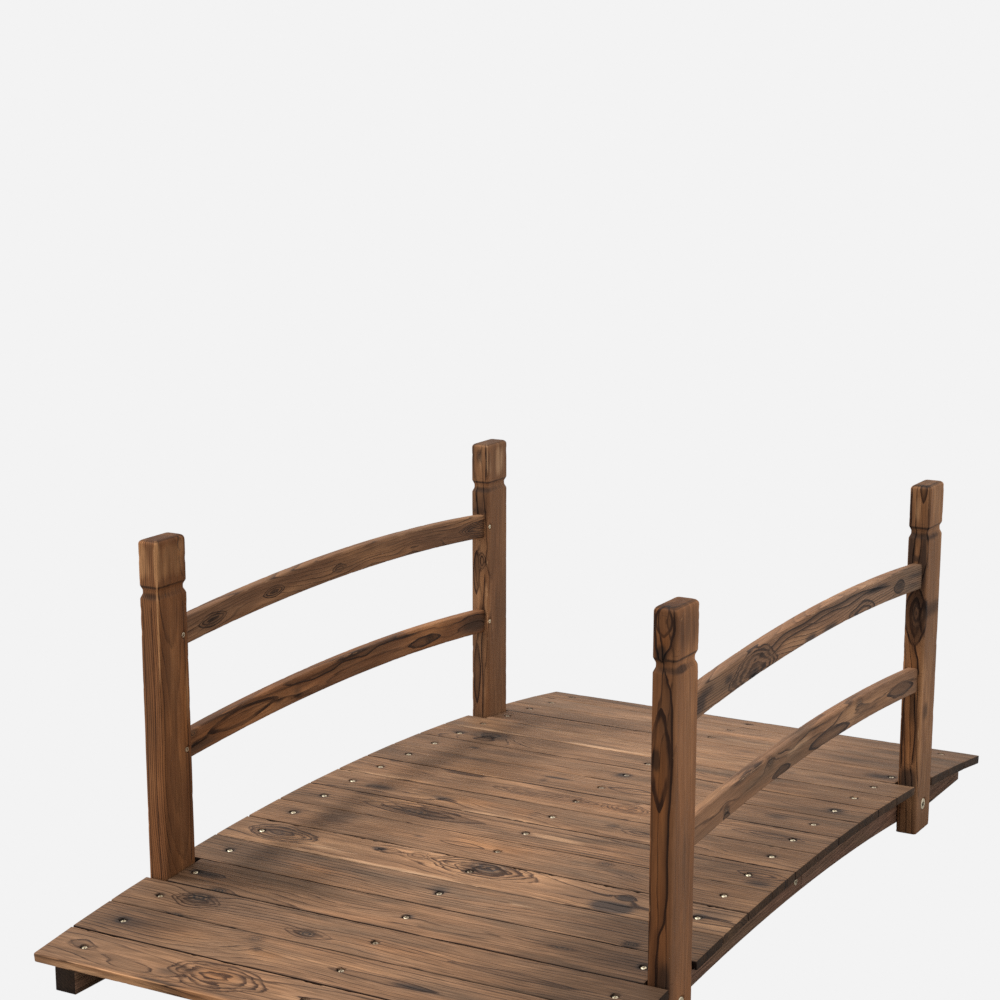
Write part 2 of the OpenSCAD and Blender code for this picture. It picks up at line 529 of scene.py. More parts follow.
        warmed = bench.stirred(bench.stirred(warmth, cloud, 1.5), patch, 0.8, clamp=True)
        soft = bench.mixed(bench.ramp(warmed, 0.0, 0.5), self.grey, self.early)
        soft = bench.mixed(bench.ramp(warmed, 0.5, 1.0), soft, self.warm)
        charred = bench.product(bench.ramp(bench.stirred(burnt, streak, self.torn), 0.12, 1.0), 0.84)
        wood = self.knots(bench, bench.mixed(charred, soft, self.char), streak)
        wood = bench.mixed(line, wood, bench.mixed(charred, self.late, self.char, "MULTIPLY"))
        # The bare colour: brushed wear, and painted highlights along some edges.
        bare = bench.product(bench.ramp(bench.stirred(wear, patch, 1.4), 0.5, 1.1), 0.7)
        wood = bench.mixed(bare, wood, self.worn)

        grained, streaked, patched = (
            bench.ramp(noise, 0.5 - half, 0.5 + half, 1 - less * self.coarse, 1 + more * self.coarse)
            for noise, half, less, more in (
                (fibre, 0.22, 0.24, 0.22), (streak, 0.16, 0.16, 0.13), (patch, 0.20, 0.12, 0.10)))
        clouded = bench.product(patched, bench.ramp(cloud, 0.3, 0.7, 0.90, 1.10))
        # End grain is darker: its own darkness, and partly painted shade.
        facing = bench.split(bench.add("TexCoord", {}).outputs["Normal"])[self.ends.value]
        end = bench.ramp(bench.math("ABSOLUTE", facing), 0.6, 0.85, 1.0, self.end_grain_and_shade)
        shade = bench.product(grained, streaked, brightness, clouded, early, self.shade, end)
        redness = bench.stirred(redness, hue, self.motley)
        green, blue = (bench.product(shade, bench.scaled(redness, -less, 1.0)) for less in (0.17, 0.34))
        level = bench.add("CombineXYZ", {0: shade, 1: green, 2: blue}).outputs[0]
        wood = bench.mixed(1.0, wood, level, "MULTIPLY")

        height = bench.scaled(streak, 0.55, bench.scaled(line, 0.5, bench.product(fibre, 0.45)))
        gloss = bench.scaled(charred, 0.12, bench.scaled(line, -0.12, self.roughness))
        feeds = {"Base Color": wood, "Roughness": gloss, "Specular IOR Level": 0.12}
        return bench.finish(feeds, height, self.relief)


@dataclass(frozen=True)
class PlatedSteel:
    """Steel with a thin yellowed zinc plating, darkened in its hollows with grime and painted shade.

    Attributes:
        name: Name of the material.
        bright: Colour of the plating.
        dull: Colour where it has dulled.
        grime_and_shade: Colour of its hollows: grime, and painted shade in the recesses.
        rust: Colour where the plating is gone.
        roughness: Roughness of the bright plating.
        scratched: Depth of its scratches.
    """

    name: str
    bright: Colour = (0.90, 0.78, 0.56)
    dull: Colour = (0.34, 0.29, 0.20)
    grime_and_shade: Colour = (0.014, 0.011, 0.009)
    rust: Colour = (0.150, 0.085, 0.040)
    roughness: float = 0.24
    scratched: float = 0.00004

    def material(self) -> Finish:
        """Builds the material.

        Returns:
            The material.
        """
        bench = NodeBench(self.name)
        place = bench.add("TexCoord", {}).outputs["Object"]
        cloud = bench.noise(place, (160.0, 160.0, 160.0), 3.0)
        scratch = bench.noise(place, (2400.0, 700.0, 1500.0), 2.0)
        hollow = bench.add("Attribute", {}, attribute_name="hollow").outputs["Fac"]
        age = bench.add("Attribute", {}, attribute_name="age").outputs["Fac"]
        plating = bench.mixed(bench.ramp(cloud, 0.50, 0.74), self.bright, self.dull)
        rusted = bench.ramp(bench.scaled(cloud, 0.6, age), 0.5, 1.1)
        plating = bench.mixed(rusted, plating, self.rust)
        # The hollows take a near-black colour: grime, and painted shade in the recesses.
        plating = bench.mixed(bench.ramp(hollow, 0.15, 0.7), plating, self.grime_and_shade)
        rough = bench.scaled(cloud, 0.35, self.roughness)
        metal = bench.scaled(rusted, -0.7, 1.0)
        feeds = {"Base Color": plating, "Roughness": rough, "Metallic": metal}
        return bench.finish(feeds, scratch, self.scratched)


@dataclass(frozen=True)
class PaleFloor:
    """Matt pale studio floor.

    Attributes:
        name: Name of the material.
        shade: Share of the light that it sends back.
    """

    name: str
    shade: float = 0.35

    def material(self) -> Finish:
        """Builds the material.

        Returns:
            The material.
        """
        bench = NodeBench(self.name)
        grey = (self.shade, self.shade, self.shade, 1.0)
        feeds = {"Base Color": grey, "Roughness": 1.0, "Specular IOR Level": 0.0}
        return bench.finish(feeds)


@dataclass
class GrainField:
    """What the wood finish reads at each point of a board.

    Attributes:
        place: Points in millimetres, along, across and through the board.
        rings: Year rings counted from the pith.
        burnt: How strongly the wood is burnt.
        knot: Offset from the nearest knot in its radii, and how much of a knot it is.
        near: Distance to that knot in its radii.
        eye: Offset from the nearest eye in its radii, and its number of outlines.
        inside: How far each point is out of that eye: 1 is on its outline.
        ink: How dark that eye is inside.
        bare: How far each point shows the bare colour: brushed bare wood, and painted highlights along some edges.
        light: Brightness of each point, painted end shade and painted face and side light included.
        warm: How much warmer than the board each point is.
        veins: Offsets from up to three veins at each point, in their widths.
        shown: How much of the marks each point shows, of those on the figured face and of those
            on the side at the low end of the width.
    """

    place: np.ndarray
    rings: np.ndarray
    burnt: np.ndarray
    knot: np.ndarray
    near: np.ndarray
    eye: np.ndarray
    inside: np.ndarray
    ink: np.ndarray
    bare: np.ndarray
    light: np.ndarray
    warm: np.ndarray
    veins: np.ndarray
    shown: tuple[np.ndarray, np.ndarray]


def smooth(part: np.ndarray) -> np.ndarray:
    """A soft step from 0 to 1."""
    return part * part * (3.0 - 2.0 * part)


def fading(away: np.ndarray, reach: float) -> np.ndarray:
    """A share that is 1 at a place and falls off over a reach."""
    return np.exp(-(away / reach) ** 2)


@dataclass(frozen=True)
class Mark:
    """A place on a board where the wood looks different, in millimetres.

    Attributes:
        along: Place of its middle along the board.
        across: Place of its middle across the board.
        long: Radius along the grain.
        wide: Radius across the grain.
        strength: How strong the mark is.
        ink: How dark it is inside.
        aside: Whether it is on the side instead of the figured face, placed through the board.
    """

    along: float
    across: float
    long: float
    wide: float
    strength: float = 1.0
    ink: float = 0.0
    aside: bool = False

    def moved(self, shift: float) -> Mark:
        """The same mark further along the board."""
        return replace(self, along=self.along + shift)

    def turned(self) -> Mark:
        """The same mark with the board's ends exchanged."""
        return replace(self, along=-self.along)

    def offsets(self, grain: GrainField) -> tuple[np.ndarray, np.ndarray, np.ndarray]:
        """Offsets of the points from the mark's middle, in its radii.

        Args:
            grain: The field.

        Returns:
            Offsets along and across the grain, and how much of the mark each point shows.
        """
        along = (grain.place[:, 0] - self.along) / self.long
        across = (grain.place[:, 2 if self.aside else 1] - self.across) / self.wide
        return along, across, grain.shown[int(self.aside)]

    def apply(self, grain: GrainField) -> None:
        """Draws the mark into the field."""
        raise NotImplementedError


class Lens(Mark):
    """Year rings that bulge round a branch under the surface: strength is in rings."""

    SOFT_TIP = 0.06
    RING_BURN = 0.12
    MOST_BURN = 0.30

    def apply(self, grain: GrainField) -> None:
        """Pushes the rings apart and darkens their lines.

        Args:
            grain: The field.
        """
        along, across, shown = self.offsets(grain)
        bulge = shown * np.exp(-(along ** 2) - np.sqrt(across ** 2 + self.SOFT_TIP))
        grain.rings -= self.strength * bulge
        grain.burnt += min(self.MOST_BURN, self.RING_BURN * self.strength) * bulge


class Eye(Mark):
    """A pointed eye with dark outlines inside each other: strength is their number."""

    PUSH = 0.8
    BLUNT = 0.02

    def apply(self, grain: GrainField) -> None:
        """Writes the eye where the face shows it and bends the rings round it.

        Args:
            grain: The field.
        """
        along, across, shown = self.offsets(grain)
        out = along ** 2 + np.sqrt(across ** 2 + self.BLUNT)
        grain.rings -= self.PUSH * shown * np.exp(-out)
        nearer = (out < grain.inside) & (shown > OFF_FACE)
        turns = np.full(len(out), self.strength)
        grain.eye[nearer] = np.stack([along, across, turns], axis=1)[nearer]
        grain.ink[nearer] = self.ink
        grain.inside[nearer] = out[nearer]


class Smudge(Mark):
    """A darker patch: burnt by the flame, and in some places painted shade: 1 is black."""

    def apply(self, grain: GrainField) -> None:
        """Darkens the wood.

        Args:
            grain: The field.
        """
        along, across, shown = self.offsets(grain)
        cloud = np.exp(-(along ** 4 + across ** 4 + along ** 2 + across ** 2) / 2)
        grain.burnt += self.strength * shown * cloud


class Patch(Mark):
    """A patch that fades slowly along the grain and fast across it, in the field named by FILLS."""

    FILLS = ""

    def apply(self, grain: GrainField) -> None:
        """Adds the patch to what it changes."""
        along, across, shown = self.offsets(grain)
        getattr(grain, self.FILLS)[:] += self.strength * shown * np.exp(-(along ** 4 + across ** 2))


class RubbedAndHighlight(Patch):
    """A patch of the bare colour: brushed bare wood, and on the near left post painted highlights along its edge and
    on its side: 1 is fully bare.
    """

    FILLS = "bare"


class ToastedAndSheen(Patch):
    """A patch that the flame turned redder: 1 is red brown, and below 0 the wood is greyer, which on the right posts'
    sides also stands for a painted sheen.
    """

    FILLS = "warm"
    WARMTH = 0.1
    REDNESS = 0.34


class Knot(Mark):
    """A branch that shows: its rings, the dark core and the wood that bends round it."""

    BEND = 2.4
    PUSH = 0.11
    BURN = 0.45
    FADE_FROM = 3.2

    def apply(self, grain: GrainField) -> None:
        """Bends the rings round the knot and writes its core.

        Args:
            grain: The field.
        """
        along, across, shown = self.offsets(grain)
        reach = np.hypot(along, across)
        bulge = shown * fading(reach, self.BEND)
        grain.rings -= self.PUSH * self.wide * bulge
        grain.burnt += self.BURN * self.strength * bulge
        nearer = reach < grain.near
        fade = np.clip(self.FADE_FROM - reach, 0.0, 1.0) * self.strength * shown
        grain.knot[nearer] = np.stack([along, across, fade], axis=1)[nearer]
        grain.near[nearer] = reach[nearer]


@dataclass(frozen=True)
class Vein:
    """A single dark line along the grain, in millimetres.

    Attributes:
        path: Points that it winds through, along and across the board, in order.
        wide: Half its width.
        fades: 1 if it fades toward the board's high edge and -1 toward the low one.
        aside: Whether it is on the side instead of the figured face, placed through the board.
        start: Place along the board from which the path is measured.
    """

    # Length of its tapered ends in millimetres, and how many of its widths it fades over.
    TIP = 14.0
    REACH = 14.0
    THINNEST = 0.02

    path: tuple[tuple[float, float], ...]
    wide: float = 1.2
    fades: int = 1
    aside: bool = False
    start: float = 0.0

    def moved(self, shift: float) -> Vein:
        """The same vein further along the board."""
        return replace(self, start=self.start + shift)

    def turned(self) -> Vein:
        """The same vein with the board's ends exchanged."""
        path = tuple((-along, across) for along, across in reversed(self.path))
        return replace(self, path=path, start=-self.start)

    def apply(self, grain: GrainField) -> None:
        """Writes how far each point is from the vein, in a column that is free there.

        Args:
            grain: The field.
        """
        place = grain.place[:, 0] - self.start
        knees = np.array([point[0] for point in self.path])
        heights = np.array([point[1] for point in self.path])
        count = np.interp(place, knees, np.arange(len(knees)))
        span = np.minimum(count.astype(int), len(knees) - 2)
        part = count - span
        middle = heights[span] + (heights[span + 1] - heights[span]) * smooth(part)
        inward = np.minimum(place - knees[0], knees[-1] - place)
        width = self.wide * np.clip(inward / self.TIP, self.THINNEST, 1.0)
        away = self.fades * (grain.place[:, 2 if self.aside else 1] - middle) / width
        near = (inward > 0.0) & (np.abs(away) < self.REACH) & (grain.shown[int(self.aside)] > OFF_FACE)
        column = next(k for k in range(3) if np.all(grain.veins[near, k] == NONE))
        grain.veins[near, column] = away[near]


@dataclass(frozen=True)
class Grain:
    """How a board was cut from its log, in millimetres, and how it was burnt.

    Attributes:
        across: Place of the pith across the board, from its middle.
        through: Place of the pith through the board, from its middle.
        climb: How far the pith climbs through the board, in each metre of it.
        ring: Width of a year ring.
        burn: How the flame left the board.
        shade: Brightness of the board.
        marks: Knots, bulging rings, burnt patches and veins.
        clear: How clear the rings are away from the figured face.
        deep: How deep under the figured face the marks reach.
        face_burn: How much more that face is burnt than the others.
        face_light_and_tone: Brightness of that face against the others: partly the wood's own tone and partly painted
            light, for how the light falls on that face.
        side_light_and_tone: Brightness of the side at the low end of the width against the others: partly tone and
            partly painted light.
        painted_end_shade: Painted shade: how much darker the board gets toward its low and its high end, which on the
            planks stands for the soft shadow of the railings.
    """

    # How far the pith strays and the length over which it does, twice across and twice through.
    SWAYS = ((7.0, 170.0), (3.0, 61.0), (5.0, 140.0), (2.0, 53.0))
    # How deep the side's marks, the face's burn and the shades of both reach.
    SIDE_DEPTH = 4.0
    BURN_DEPTH = 2.0
    SHADE_DEPTH = 2.5
    MOST_BURNT = 1.2
    # Where the board's painted end shade starts and over how much of its half length it grows.
    DIM_FROM = 0.22
    DIM_OVER = 0.58

    across: float = 0.0
    through: float = -45.0
    climb: float = 12.0
    ring: float = 4.2
    burn: Burn = Burn.PLAIN
    shade: float = 1.0
    marks: tuple[Mark | Vein, ...] = ()
    clear: float = 1.0
    deep: float = 60.0
    face_burn: float = 0.0
    face_light_and_tone: float = 1.0
    side_light_and_tone: float = 1.0
    painted_end_shade: tuple[float, ...] = ()

    def lowered(self, height: float) -> Grain:
        """The same grain with its marks placed from a height in metres instead of the ground."""
        return replace(self, marks=tuple(mark.moved(-height / MM) for mark in self.marks))

    def field(self, place: np.ndarray, seed: int) -> GrainField:
        """Works out the field at each point of a board.

        Args:
            place: Points in metres, along, across and through the board.
            seed: Number of the board, which sets how its pith wanders.

        Returns:
            The field that the wood finish reads.
        """
        points = place / MM
        along = points[:, 0]
        starts = np.random.default_rng(seed).uniform(0.0, math.tau, len(self.SWAYS))
        sways = [size * np.sin(along / wave + start) for (size, wave), start in zip(self.SWAYS, starts)]
        side = points[:, 1] - self.across - (sways[0] + sways[1])
        depth = points[:, 2] - self.through - (sways[2] + sways[3]) - self.climb * along * MM
        under = points[:, 2].max() - points[:, 2]
        beside = points[:, 1] - points[:, 1].min()
        count = len(points)
        grain = GrainField(
            place=points, rings=np.hypot(side, depth) / self.ring,
            burnt=self.face_burn * fading(under, self.BURN_DEPTH),
            knot=np.zeros((count, 3)), near=np.full(count, BEYOND),
            eye=np.tile([BEYOND, BEYOND, 0.0], (count, 1)), inside=np.full(count, NONE),
            ink=np.zeros(count), bare=np.zeros(count),
            light=self.lightness(along / np.abs(along).max(), under, beside),
            warm=np.zeros(count), veins=np.full((count, 3), NONE),
            shown=(fading(under, self.deep), fading(beside, self.SIDE_DEPTH)))
        for mark in self.marks:
            mark.apply(grain)
        np.clip(grain.burnt, 0.0, self.MOST_BURNT, out=grain.burnt)
        return grain

    def lightness(self, out: np.ndarray, under: np.ndarray, beside: np.ndarray) -> np.ndarray:
        """Works out how bright each point is, with the painted shade toward its ends and the painted light of its face
        and side.

        Args:
            out: Place along the board, from -1 to 1.
            under: Depth under the figured face in millimetres.
            beside: Distance from the side at the low end of the width.

        Returns:
            The brightness.
        """
        low, high = self.painted_end_shade or (0.0, 0.0)
        share = smooth(np.clip((np.abs(out) - self.DIM_FROM) / self.DIM_OVER, 0.0, 1.0))
        light = self.shade * (1.0 - np.where(out < 0.0, low, high) * share)
        light *= 1.0 + (self.face_light_and_tone - 1.0) * fading(under, self.SHADE_DEPTH)
        return light * (1.0 + (self.side_light_and_tone - 1.0) * fading(beside, self.SHADE_DEPTH))


def ripple(points: np.ndarray, wave: float, seed: int) -> np.ndarray:
    """Smooth waves over a set of points.

    Args:
        points: Points, in metres, with any number of columns.
        wave: Typical length of a wave in metres.
        seed: Sets the directions and the phases.

    Returns:
        The waves' sum, about from -1 to 1.
    """
    rng = np.random.default_rng(seed)
    pull = rng.normal(size=(points.shape[1], WAVES)) * math.tau / wave / math.sqrt(points.shape[1])
    phase = rng.uniform(0.0, math.tau, WAVES)
    return np.sin(points @ pull + phase).sum(axis=1) / math.sqrt(WAVES)


def runs_along(edge: bmesh.types.BMEdge, axis: Axis) -> bool:
    """True for an edge that runs along an axis."""
    span = edge.verts[1].co - edge.verts[0].co
    return abs(span[axis.value]) > 0.999 * span.length


def bevel(bm: Shape, edges: list[bmesh.types.BMEdge], offset: float, segments: int) -> None:
    """Rounds edges."""
    bmesh.ops.bevel(bm, geom=edges, offset=offset, segments=segments, profile=0.5,
                    affect="EDGES", material=-1, clamp_overlap=True)


def cut(bm: Shape, axis: Axis, place: float) -> None:
    """Cuts every face that a plane square to an axis crosses."""
    geom = [*bm.verts, *bm.edges, *bm.faces]
    bmesh.ops.bisect_plane(bm, geom=geom, dist=TINY, plane_co=axis.vector * place, plane_no=axis.vector)


def cut_evenly(bm: Shape, axis: Axis, start: float, end: float, cell: float) -> None:
    """Cuts a mesh into even cells of about a given size between two places along an axis."""
    cells = round((end - start) / cell)
    for k in range(1, cells):
        cut(bm, axis, start + (end - start) * k / cells)


def add_disc(bm: Shape, sides: int, radii: tuple[float, float], span: tuple[float, float],
             place: Matrix | None = None) -> list[bmesh.types.BMVert]:
    """Adds a disc to a mesh.

    Args:
        bm: The mesh.
        sides: Number of the disc's sides.
        radii: Its radius at the bottom and at the top.
        span: Heights of its bottom and its top.
        place: Place from which the heights are measured, or the origin.

    Returns:
        The new points.
    """
    middle = (place or Matrix()) @ Matrix.Translation((0.0, 0.0, (span[0] + span[1]) / 2))
    return bmesh.ops.create_cone(bm, cap_ends=True, segments=sides, radius1=radii[0], radius2=radii[1],
                                 depth=span[1] - span[0], matrix=middle)["verts"]


def add_object(name: str, bm: Shape) -> Piece:
    """Turns a bmesh into a smooth object at the origin and frees the bmesh.

    Args:
        name: Name of the object and its mesh.
        bm: Shape, already in place or placed later through its mesh.

    Returns:
        The new object.
    """
    bmesh.ops.recalc_face_normals(bm, faces=bm.faces)
    for face in bm.faces:
        face.smooth = True
    mesh = bpy.data.meshes.new(name)
    bm.to_mesh(mesh)
    bm.free()
    mesh.set_sharp_from_angle(angle=SHARP)
    piece = bpy.data.objects.new(name, mesh)
    bpy.context.scene.collection.objects.link(piece)
    return piece


def cut_out(piece: Piece, cutter: Shape) -> None:
    """Cuts a shape out of a piece, whose mesh is replaced.

    Args:
        piece: The piece, at the origin.
        cutter: The shape, which is freed.
    """
    tool = add_object("cutter", cutter)
    hole = piece.modifiers.new("hole", "BOOLEAN")
    hole.operation = "DIFFERENCE"
    hole.solver = "EXACT"
    hole.object = tool
    depsgraph = bpy.context.evaluated_depsgraph_get()
    mesh = bpy.data.meshes.new_from_object(piece.evaluated_get(depsgraph), depsgraph=depsgraph)
    piece.modifiers.clear()
    spare = piece.data
    piece.data = mesh
    for data in (spare, tool.data):
        bpy.data.meshes.remove(data)


def read_points(mesh: bpy.types.Mesh) -> np.ndarray:
    """Reads the points of a mesh.

    Args:
        mesh: The mesh.

    Returns:
        The points, one row each.
    """
    points = np.empty(3 * len(mesh.vertices), np.float32)
    mesh.vertices.foreach_get("co", points)
    return points.reshape(-1, 3).astype(float)


def write_points(mesh: bpy.types.Mesh, points: np.ndarray) -> None:
    """Moves the points of a mesh."""
    mesh.vertices.foreach_set("co", points.astype(np.float32).ravel())
    mesh.update()


def write_attribute(mesh: bpy.types.Mesh, name: str, columns: np.ndarray) -> None:
    """Gives each point of a mesh a vector."""
    attribute = mesh.attributes.new(name, "FLOAT_VECTOR", "POINT")
    attribute.data.foreach_set("vector", columns.astype(np.float32).ravel())


def frame_matrix(along: Vector, across: Vector, middle: Vector) -> Matrix:
    """Matrix that puts a board, built about its own middle, in its place.

    Args:
        along: Direction in which the board runs.
        across: Direction of its width.
        middle: Place of its middle.

    Returns:
        The matrix.
    """
    turned = Matrix((along, across, along.cross(across))).transposed()
    return Matrix.Translation(middle) @ turned.to_4x4()


def raised(spot: Matrix, height: float) -> Matrix:
    """The same place, further out along its Z."""
    return spot @ Matrix.Translation((0.0, 0.0, height))


def sideways(x: float, y: float, z: float, out: int) -> Matrix:
    """Place of a fixing whose Z points to the left of the bridge, for 1, or to the right, for -1."""
    return Matrix.Translation((x, y, z)) @ Matrix.Rotation(-out * math.pi / 2, 4, "X")


@dataclass(frozen=True)
class Recess:
    """A round recess that takes a screw's or bolt's head.

    Attributes:
        spot: Its place in the frame, with Z out of the board.
        radius: Its radius at the surface.
        depth: Its depth.
    """

    # Share of the radius by which its cutter is wider outside the board and narrower at the bottom.
    TAPER = 0.15

    spot: Matrix
    radius: float
    depth: float


@dataclass
class Board:
    """A sawn board, built about its own middle: length along X, width along Y, thickness along Z.

    Attributes:
        size: Length, width and thickness.
        edge: Rounding of the long edges.
        grain: How the board was cut and burnt.
        seed: Number that sets its waves and chips.
        end_edges: Rounding of the edges round its low and its high end.
        cells: Spacing of the mesh along, across and through the board.
        breaks: Places along the board where spans of the mesh end.
        fine: Finer spans of the mesh along the board, as start, end and spacing.
        chips: Greatest depth of the chips along the long edges.
        edge_wear_and_highlight: How far the long edges are brushed bare, which on the rails also stands for a painted
            highlight along them.
        side_burn_and_shade: How much darker the sides are than the faces: char, and painted shade in the gaps between
            boards.
        recesses: Recesses for the heads of screws and bolts.
    """

    # Lengths of the waves of long and short chips, of the faces and of the brushed edges.
    CHIP_WAVES = (0.05, 0.013)
    FACE_WAVE = 0.11
    BRUSH_WAVE = 0.09
    # Height of those waves at which a chip starts, and its share along each of the two faces.
    CHIP_FROM = 0.55
    CHIP_SHARE = 0.7
    # Depth of a face's lowest places.
    FACE_LOW = 0.0003

    size: tuple[float, float, float]
    edge: float
    grain: Grain
    seed: int
    end_edges: tuple[float, float] = (0.0009, 0.0009)
    cells: tuple[float, float, float] = (0.0055, 0.0034, 0.0034)
    breaks: list[float] = field(default_factory=list)
    fine: list[tuple[float, float, float]] = field(default_factory=list)
    chips: float = 0.0004
    edge_wear_and_highlight: float = 0.45
    side_burn_and_shade: float = 0.0
    recesses: list[Recess] = field(default_factory=list)

    def block(self) -> Shape:
        """Builds the board with its rounded edges, cut across and through into cells.

        Returns:
            The board, still uncut along its length.
        """
        length, width, thickness = self.size
        bm = bmesh.new()
        bmesh.ops.create_cube(bm, size=1.0)
        bmesh.ops.scale(bm, vec=self.size, verts=bm.verts)
        bevel(bm, [edge for edge in bm.edges if runs_along(edge, Axis.X)], self.edge, 3)
        for end, rounding in zip((-1, 1), self.end_edges):
            rim = [edge for edge in bm.edges
                   if all(abs(vert.co.x - end * length / 2) < TINY for vert in edge.verts)]
            if rounding > 0.0:
                bevel(bm, rim, rounding, 2)
        for axis, side in ((Axis.Y, width), (Axis.Z, thickness)):
            half = side / 2 - self.edge
            cut_evenly(bm, axis, -half, half, self.cells[axis.value])
        return bm

    def cut_lengthwise(self, bm: Shape) -> None:
        """Cuts the board along its length into cells, finer where the board asks for it.

        Args:
            bm: The board.
        """
        half = self.size[0] / 2
        stations = sorted([-half, *self.breaks, *(x for span in self.fine for x in span[:2]), half])
        for place in stations[1:-1]:
            cut(bm, Axis.X, place)
        for start, end in zip(stations, stations[1:]):
            cell = self.cells[0]
            for fine_start, fine_end, fine_cell in self.fine:
                if fine_start - TINY <= start and end <= fine_end + TINY:
                    cell = fine_cell
            edges = [edge for edge in bm.edges if runs_along(edge, Axis.X)
                     and start < (edge.verts[0].co.x + edge.verts[1].co.x) / 2 < end]
            cells = max(1, round((end - start) / cell))
            if cells > 1:
                bmesh.ops.subdivide_edges(bm, edges=edges, cuts=cells - 1, use_grid_fill=True)

    def weather(self, points: np.ndarray) -> tuple[np.ndarray, np.ndarray]:
        """Wears the board: low waves on its faces and chips along its edges, all inwards.

        Args:
            points: Points of the board.

        Returns:
            The worn points, and how bare each of them is.
        """
        span, deep = (np.abs(points[:, k]) - self.size[k] / 2 + self.edge for k in (1, 2))
        share = ((span > -TINY) & (deep > -TINY)).astype(float)
        signs = np.sign(points)
        corner = points[:, :1] + 3.1 * signs[:, 1:2] + 7.7 * signs[:, 2:3]
        long, short = (ripple(corner, wave, self.seed + k) for k, wave in enumerate(self.CHIP_WAVES))
        torn = np.clip(long + 0.6 * short - self.CHIP_FROM, 0.0, 1.0)
        depth = self.CHIP_SHARE * self.chips * share * (0.15 + torn)
        low = self.FACE_LOW * (0.5 + 0.5 * ripple(points, self.FACE_WAVE, self.seed + 2))
        worn = points.copy()
        worn[:, 1] -= signs[:, 1] * depth
        worn[:, 2] -= signs[:, 2] * (depth + np.clip(low, 0.0, None))
        # Bare crests of the rounded edges: wear, and on the rails also a painted highlight.
        crest = share * (np.minimum(span, deep) > 0.08 * self.edge) * (span < 0.8 * self.edge)
        brushed = 0.75 + 0.45 * ripple(corner, self.BRUSH_WAVE, self.seed + 3)
        return worn, crest * (self.edge_wear_and_highlight * brushed + 0.5 * torn)

    def shape(self, points: np.ndarray) -> np.ndarray:
        """Gives the worn board its final form: a plain board stays straight."""
        return points

    def build(self, material: Finish, place: Matrix, node: str, slot: str) -> Piece:
        """Builds the board, dresses it and sets it in the frame.

        Args:
            material: Finish of the board.
            place: Matrix from the board's own middle to its place.
            node: Node of the frame that the board stands for and is named after.
            slot: Material slot of the record.

        Returns:
            The finished board.
        """
        bm = self.block()
        self.open_up(bm)
        self.cut_lengthwise(bm)
        piece = add_object(node + "_board", bm)
        self.carve(piece, place)
        mesh = piece.data
        straight = read_points(mesh)
        worn, bare = self.weather(straight)
        # The sides are darkened: char, and painted shade in the gaps between planks.
        side = (np.abs(straight[:, 1]) > self.size[1] / 2 - 0.2 * self.edge).astype(float)
        write_grain(mesh, self.grain, straight, self.seed, bare, self.side_burn_and_shade * side)
        write_points(mesh, self.shape(worn))
        mesh.transform(place)
        mesh.materials.append(material)
        return seat(piece, node, slot)

    def open_up(self, bm: Shape) -> None:
        """Opens what is let into the board: nothing on a plain one."""

    def carve(self, piece: Piece, place: Matrix) -> None:
        """Cuts the recesses into the board.

        Args:
            piece: The board about its own middle, whose mesh is replaced.
            place: Matrix from the board's own middle to its place.
        """
        if not self.recesses:
            return
        cutter = bmesh.new()
        for recess in self.recesses:
            radii = ((1 - Recess.TAPER) * recess.radius, (1 + Recess.TAPER) * recess.radius)
            add_disc(cutter, 24, radii, (-recess.depth, recess.depth), place.inverted() @ recess.spot)
        cut_out(piece, cutter)


def write_grain(mesh: bpy.types.Mesh, grain: Grain, place: np.ndarray, seed: int, bare: np.ndarray,
                burnt: np.ndarray) -> None:
    """Writes what the wood finish reads.

    Args:
        mesh: Mesh of the board.
        grain: How the board was cut and burnt.
        place: Its points along, across and through the board, from its middle, in metres.
        seed: Number of the board.
        bare: How much barer each point is brushed than its marks say.
        burnt: How much more it is burnt.
    """
    drawn = grain.field(place, seed)
    shift = np.random.default_rng(seed + 50).uniform(0.0, PATTERN_SPREAD, 3)
    write_attribute(mesh, "grain", place + shift)
    marks = [drawn.rings, drawn.burnt + burnt, drawn.bare + bare]
    write_attribute(mesh, "marks", np.stack(marks, axis=1))
    clear = grain.clear + (1.0 - grain.clear) * drawn.shown[0]
    figure = [clear, drawn.ink, np.minimum(drawn.inside, BEYOND)]
    write_attribute(mesh, "figure", np.stack(figure, axis=1))
    for name in ("veins", "knot", "eye"):
        write_attribute(mesh, name, getattr(drawn, name))
    brightness, warmth, redness = grain.burn.value
    tone = [brightness * drawn.light, warmth + ToastedAndSheen.WARMTH * drawn.warm,
            redness + ToastedAndSheen.REDNESS * drawn.warm]
    write_attribute(mesh, "tone", np.stack(tone, axis=1))


def seat(piece: Piece, node: str | None, slot: str) -> Piece:
    """Makes a piece part of the bridge.

    Args:
        piece: The piece, in place.
        node: Node of the frame that it stands for, if any.
        slot: Material slot of the record.

    Returns:
        The piece.
    """
    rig.ride(piece, BODY)
    if node is not None:
        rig.replaces(piece, node)
    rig.slot(piece, slot)
    return piece


@dataclass(kw_only=True)
class BentBoard(Board):
    """A board sawn to an arc in the plane of its width.

    Attributes:
        radius: Radius of the arc through the middle of the board.
    """

    radius: float

    def shape(self, points: np.ndarray) -> np.ndarray:
        """Lays the straight board along the arc, with its crown in the middle.

        Args:
            points: Points of the worn board.

        Returns:
            The points on the arc.
        """
        turn = points[:, 0] / self.radius
        reach = self.radius + points[:, 1]
        return np.stack([reach * np.sin(turn), reach * np.cos(turn) - self.radius, points[:, 2]], axis=1)


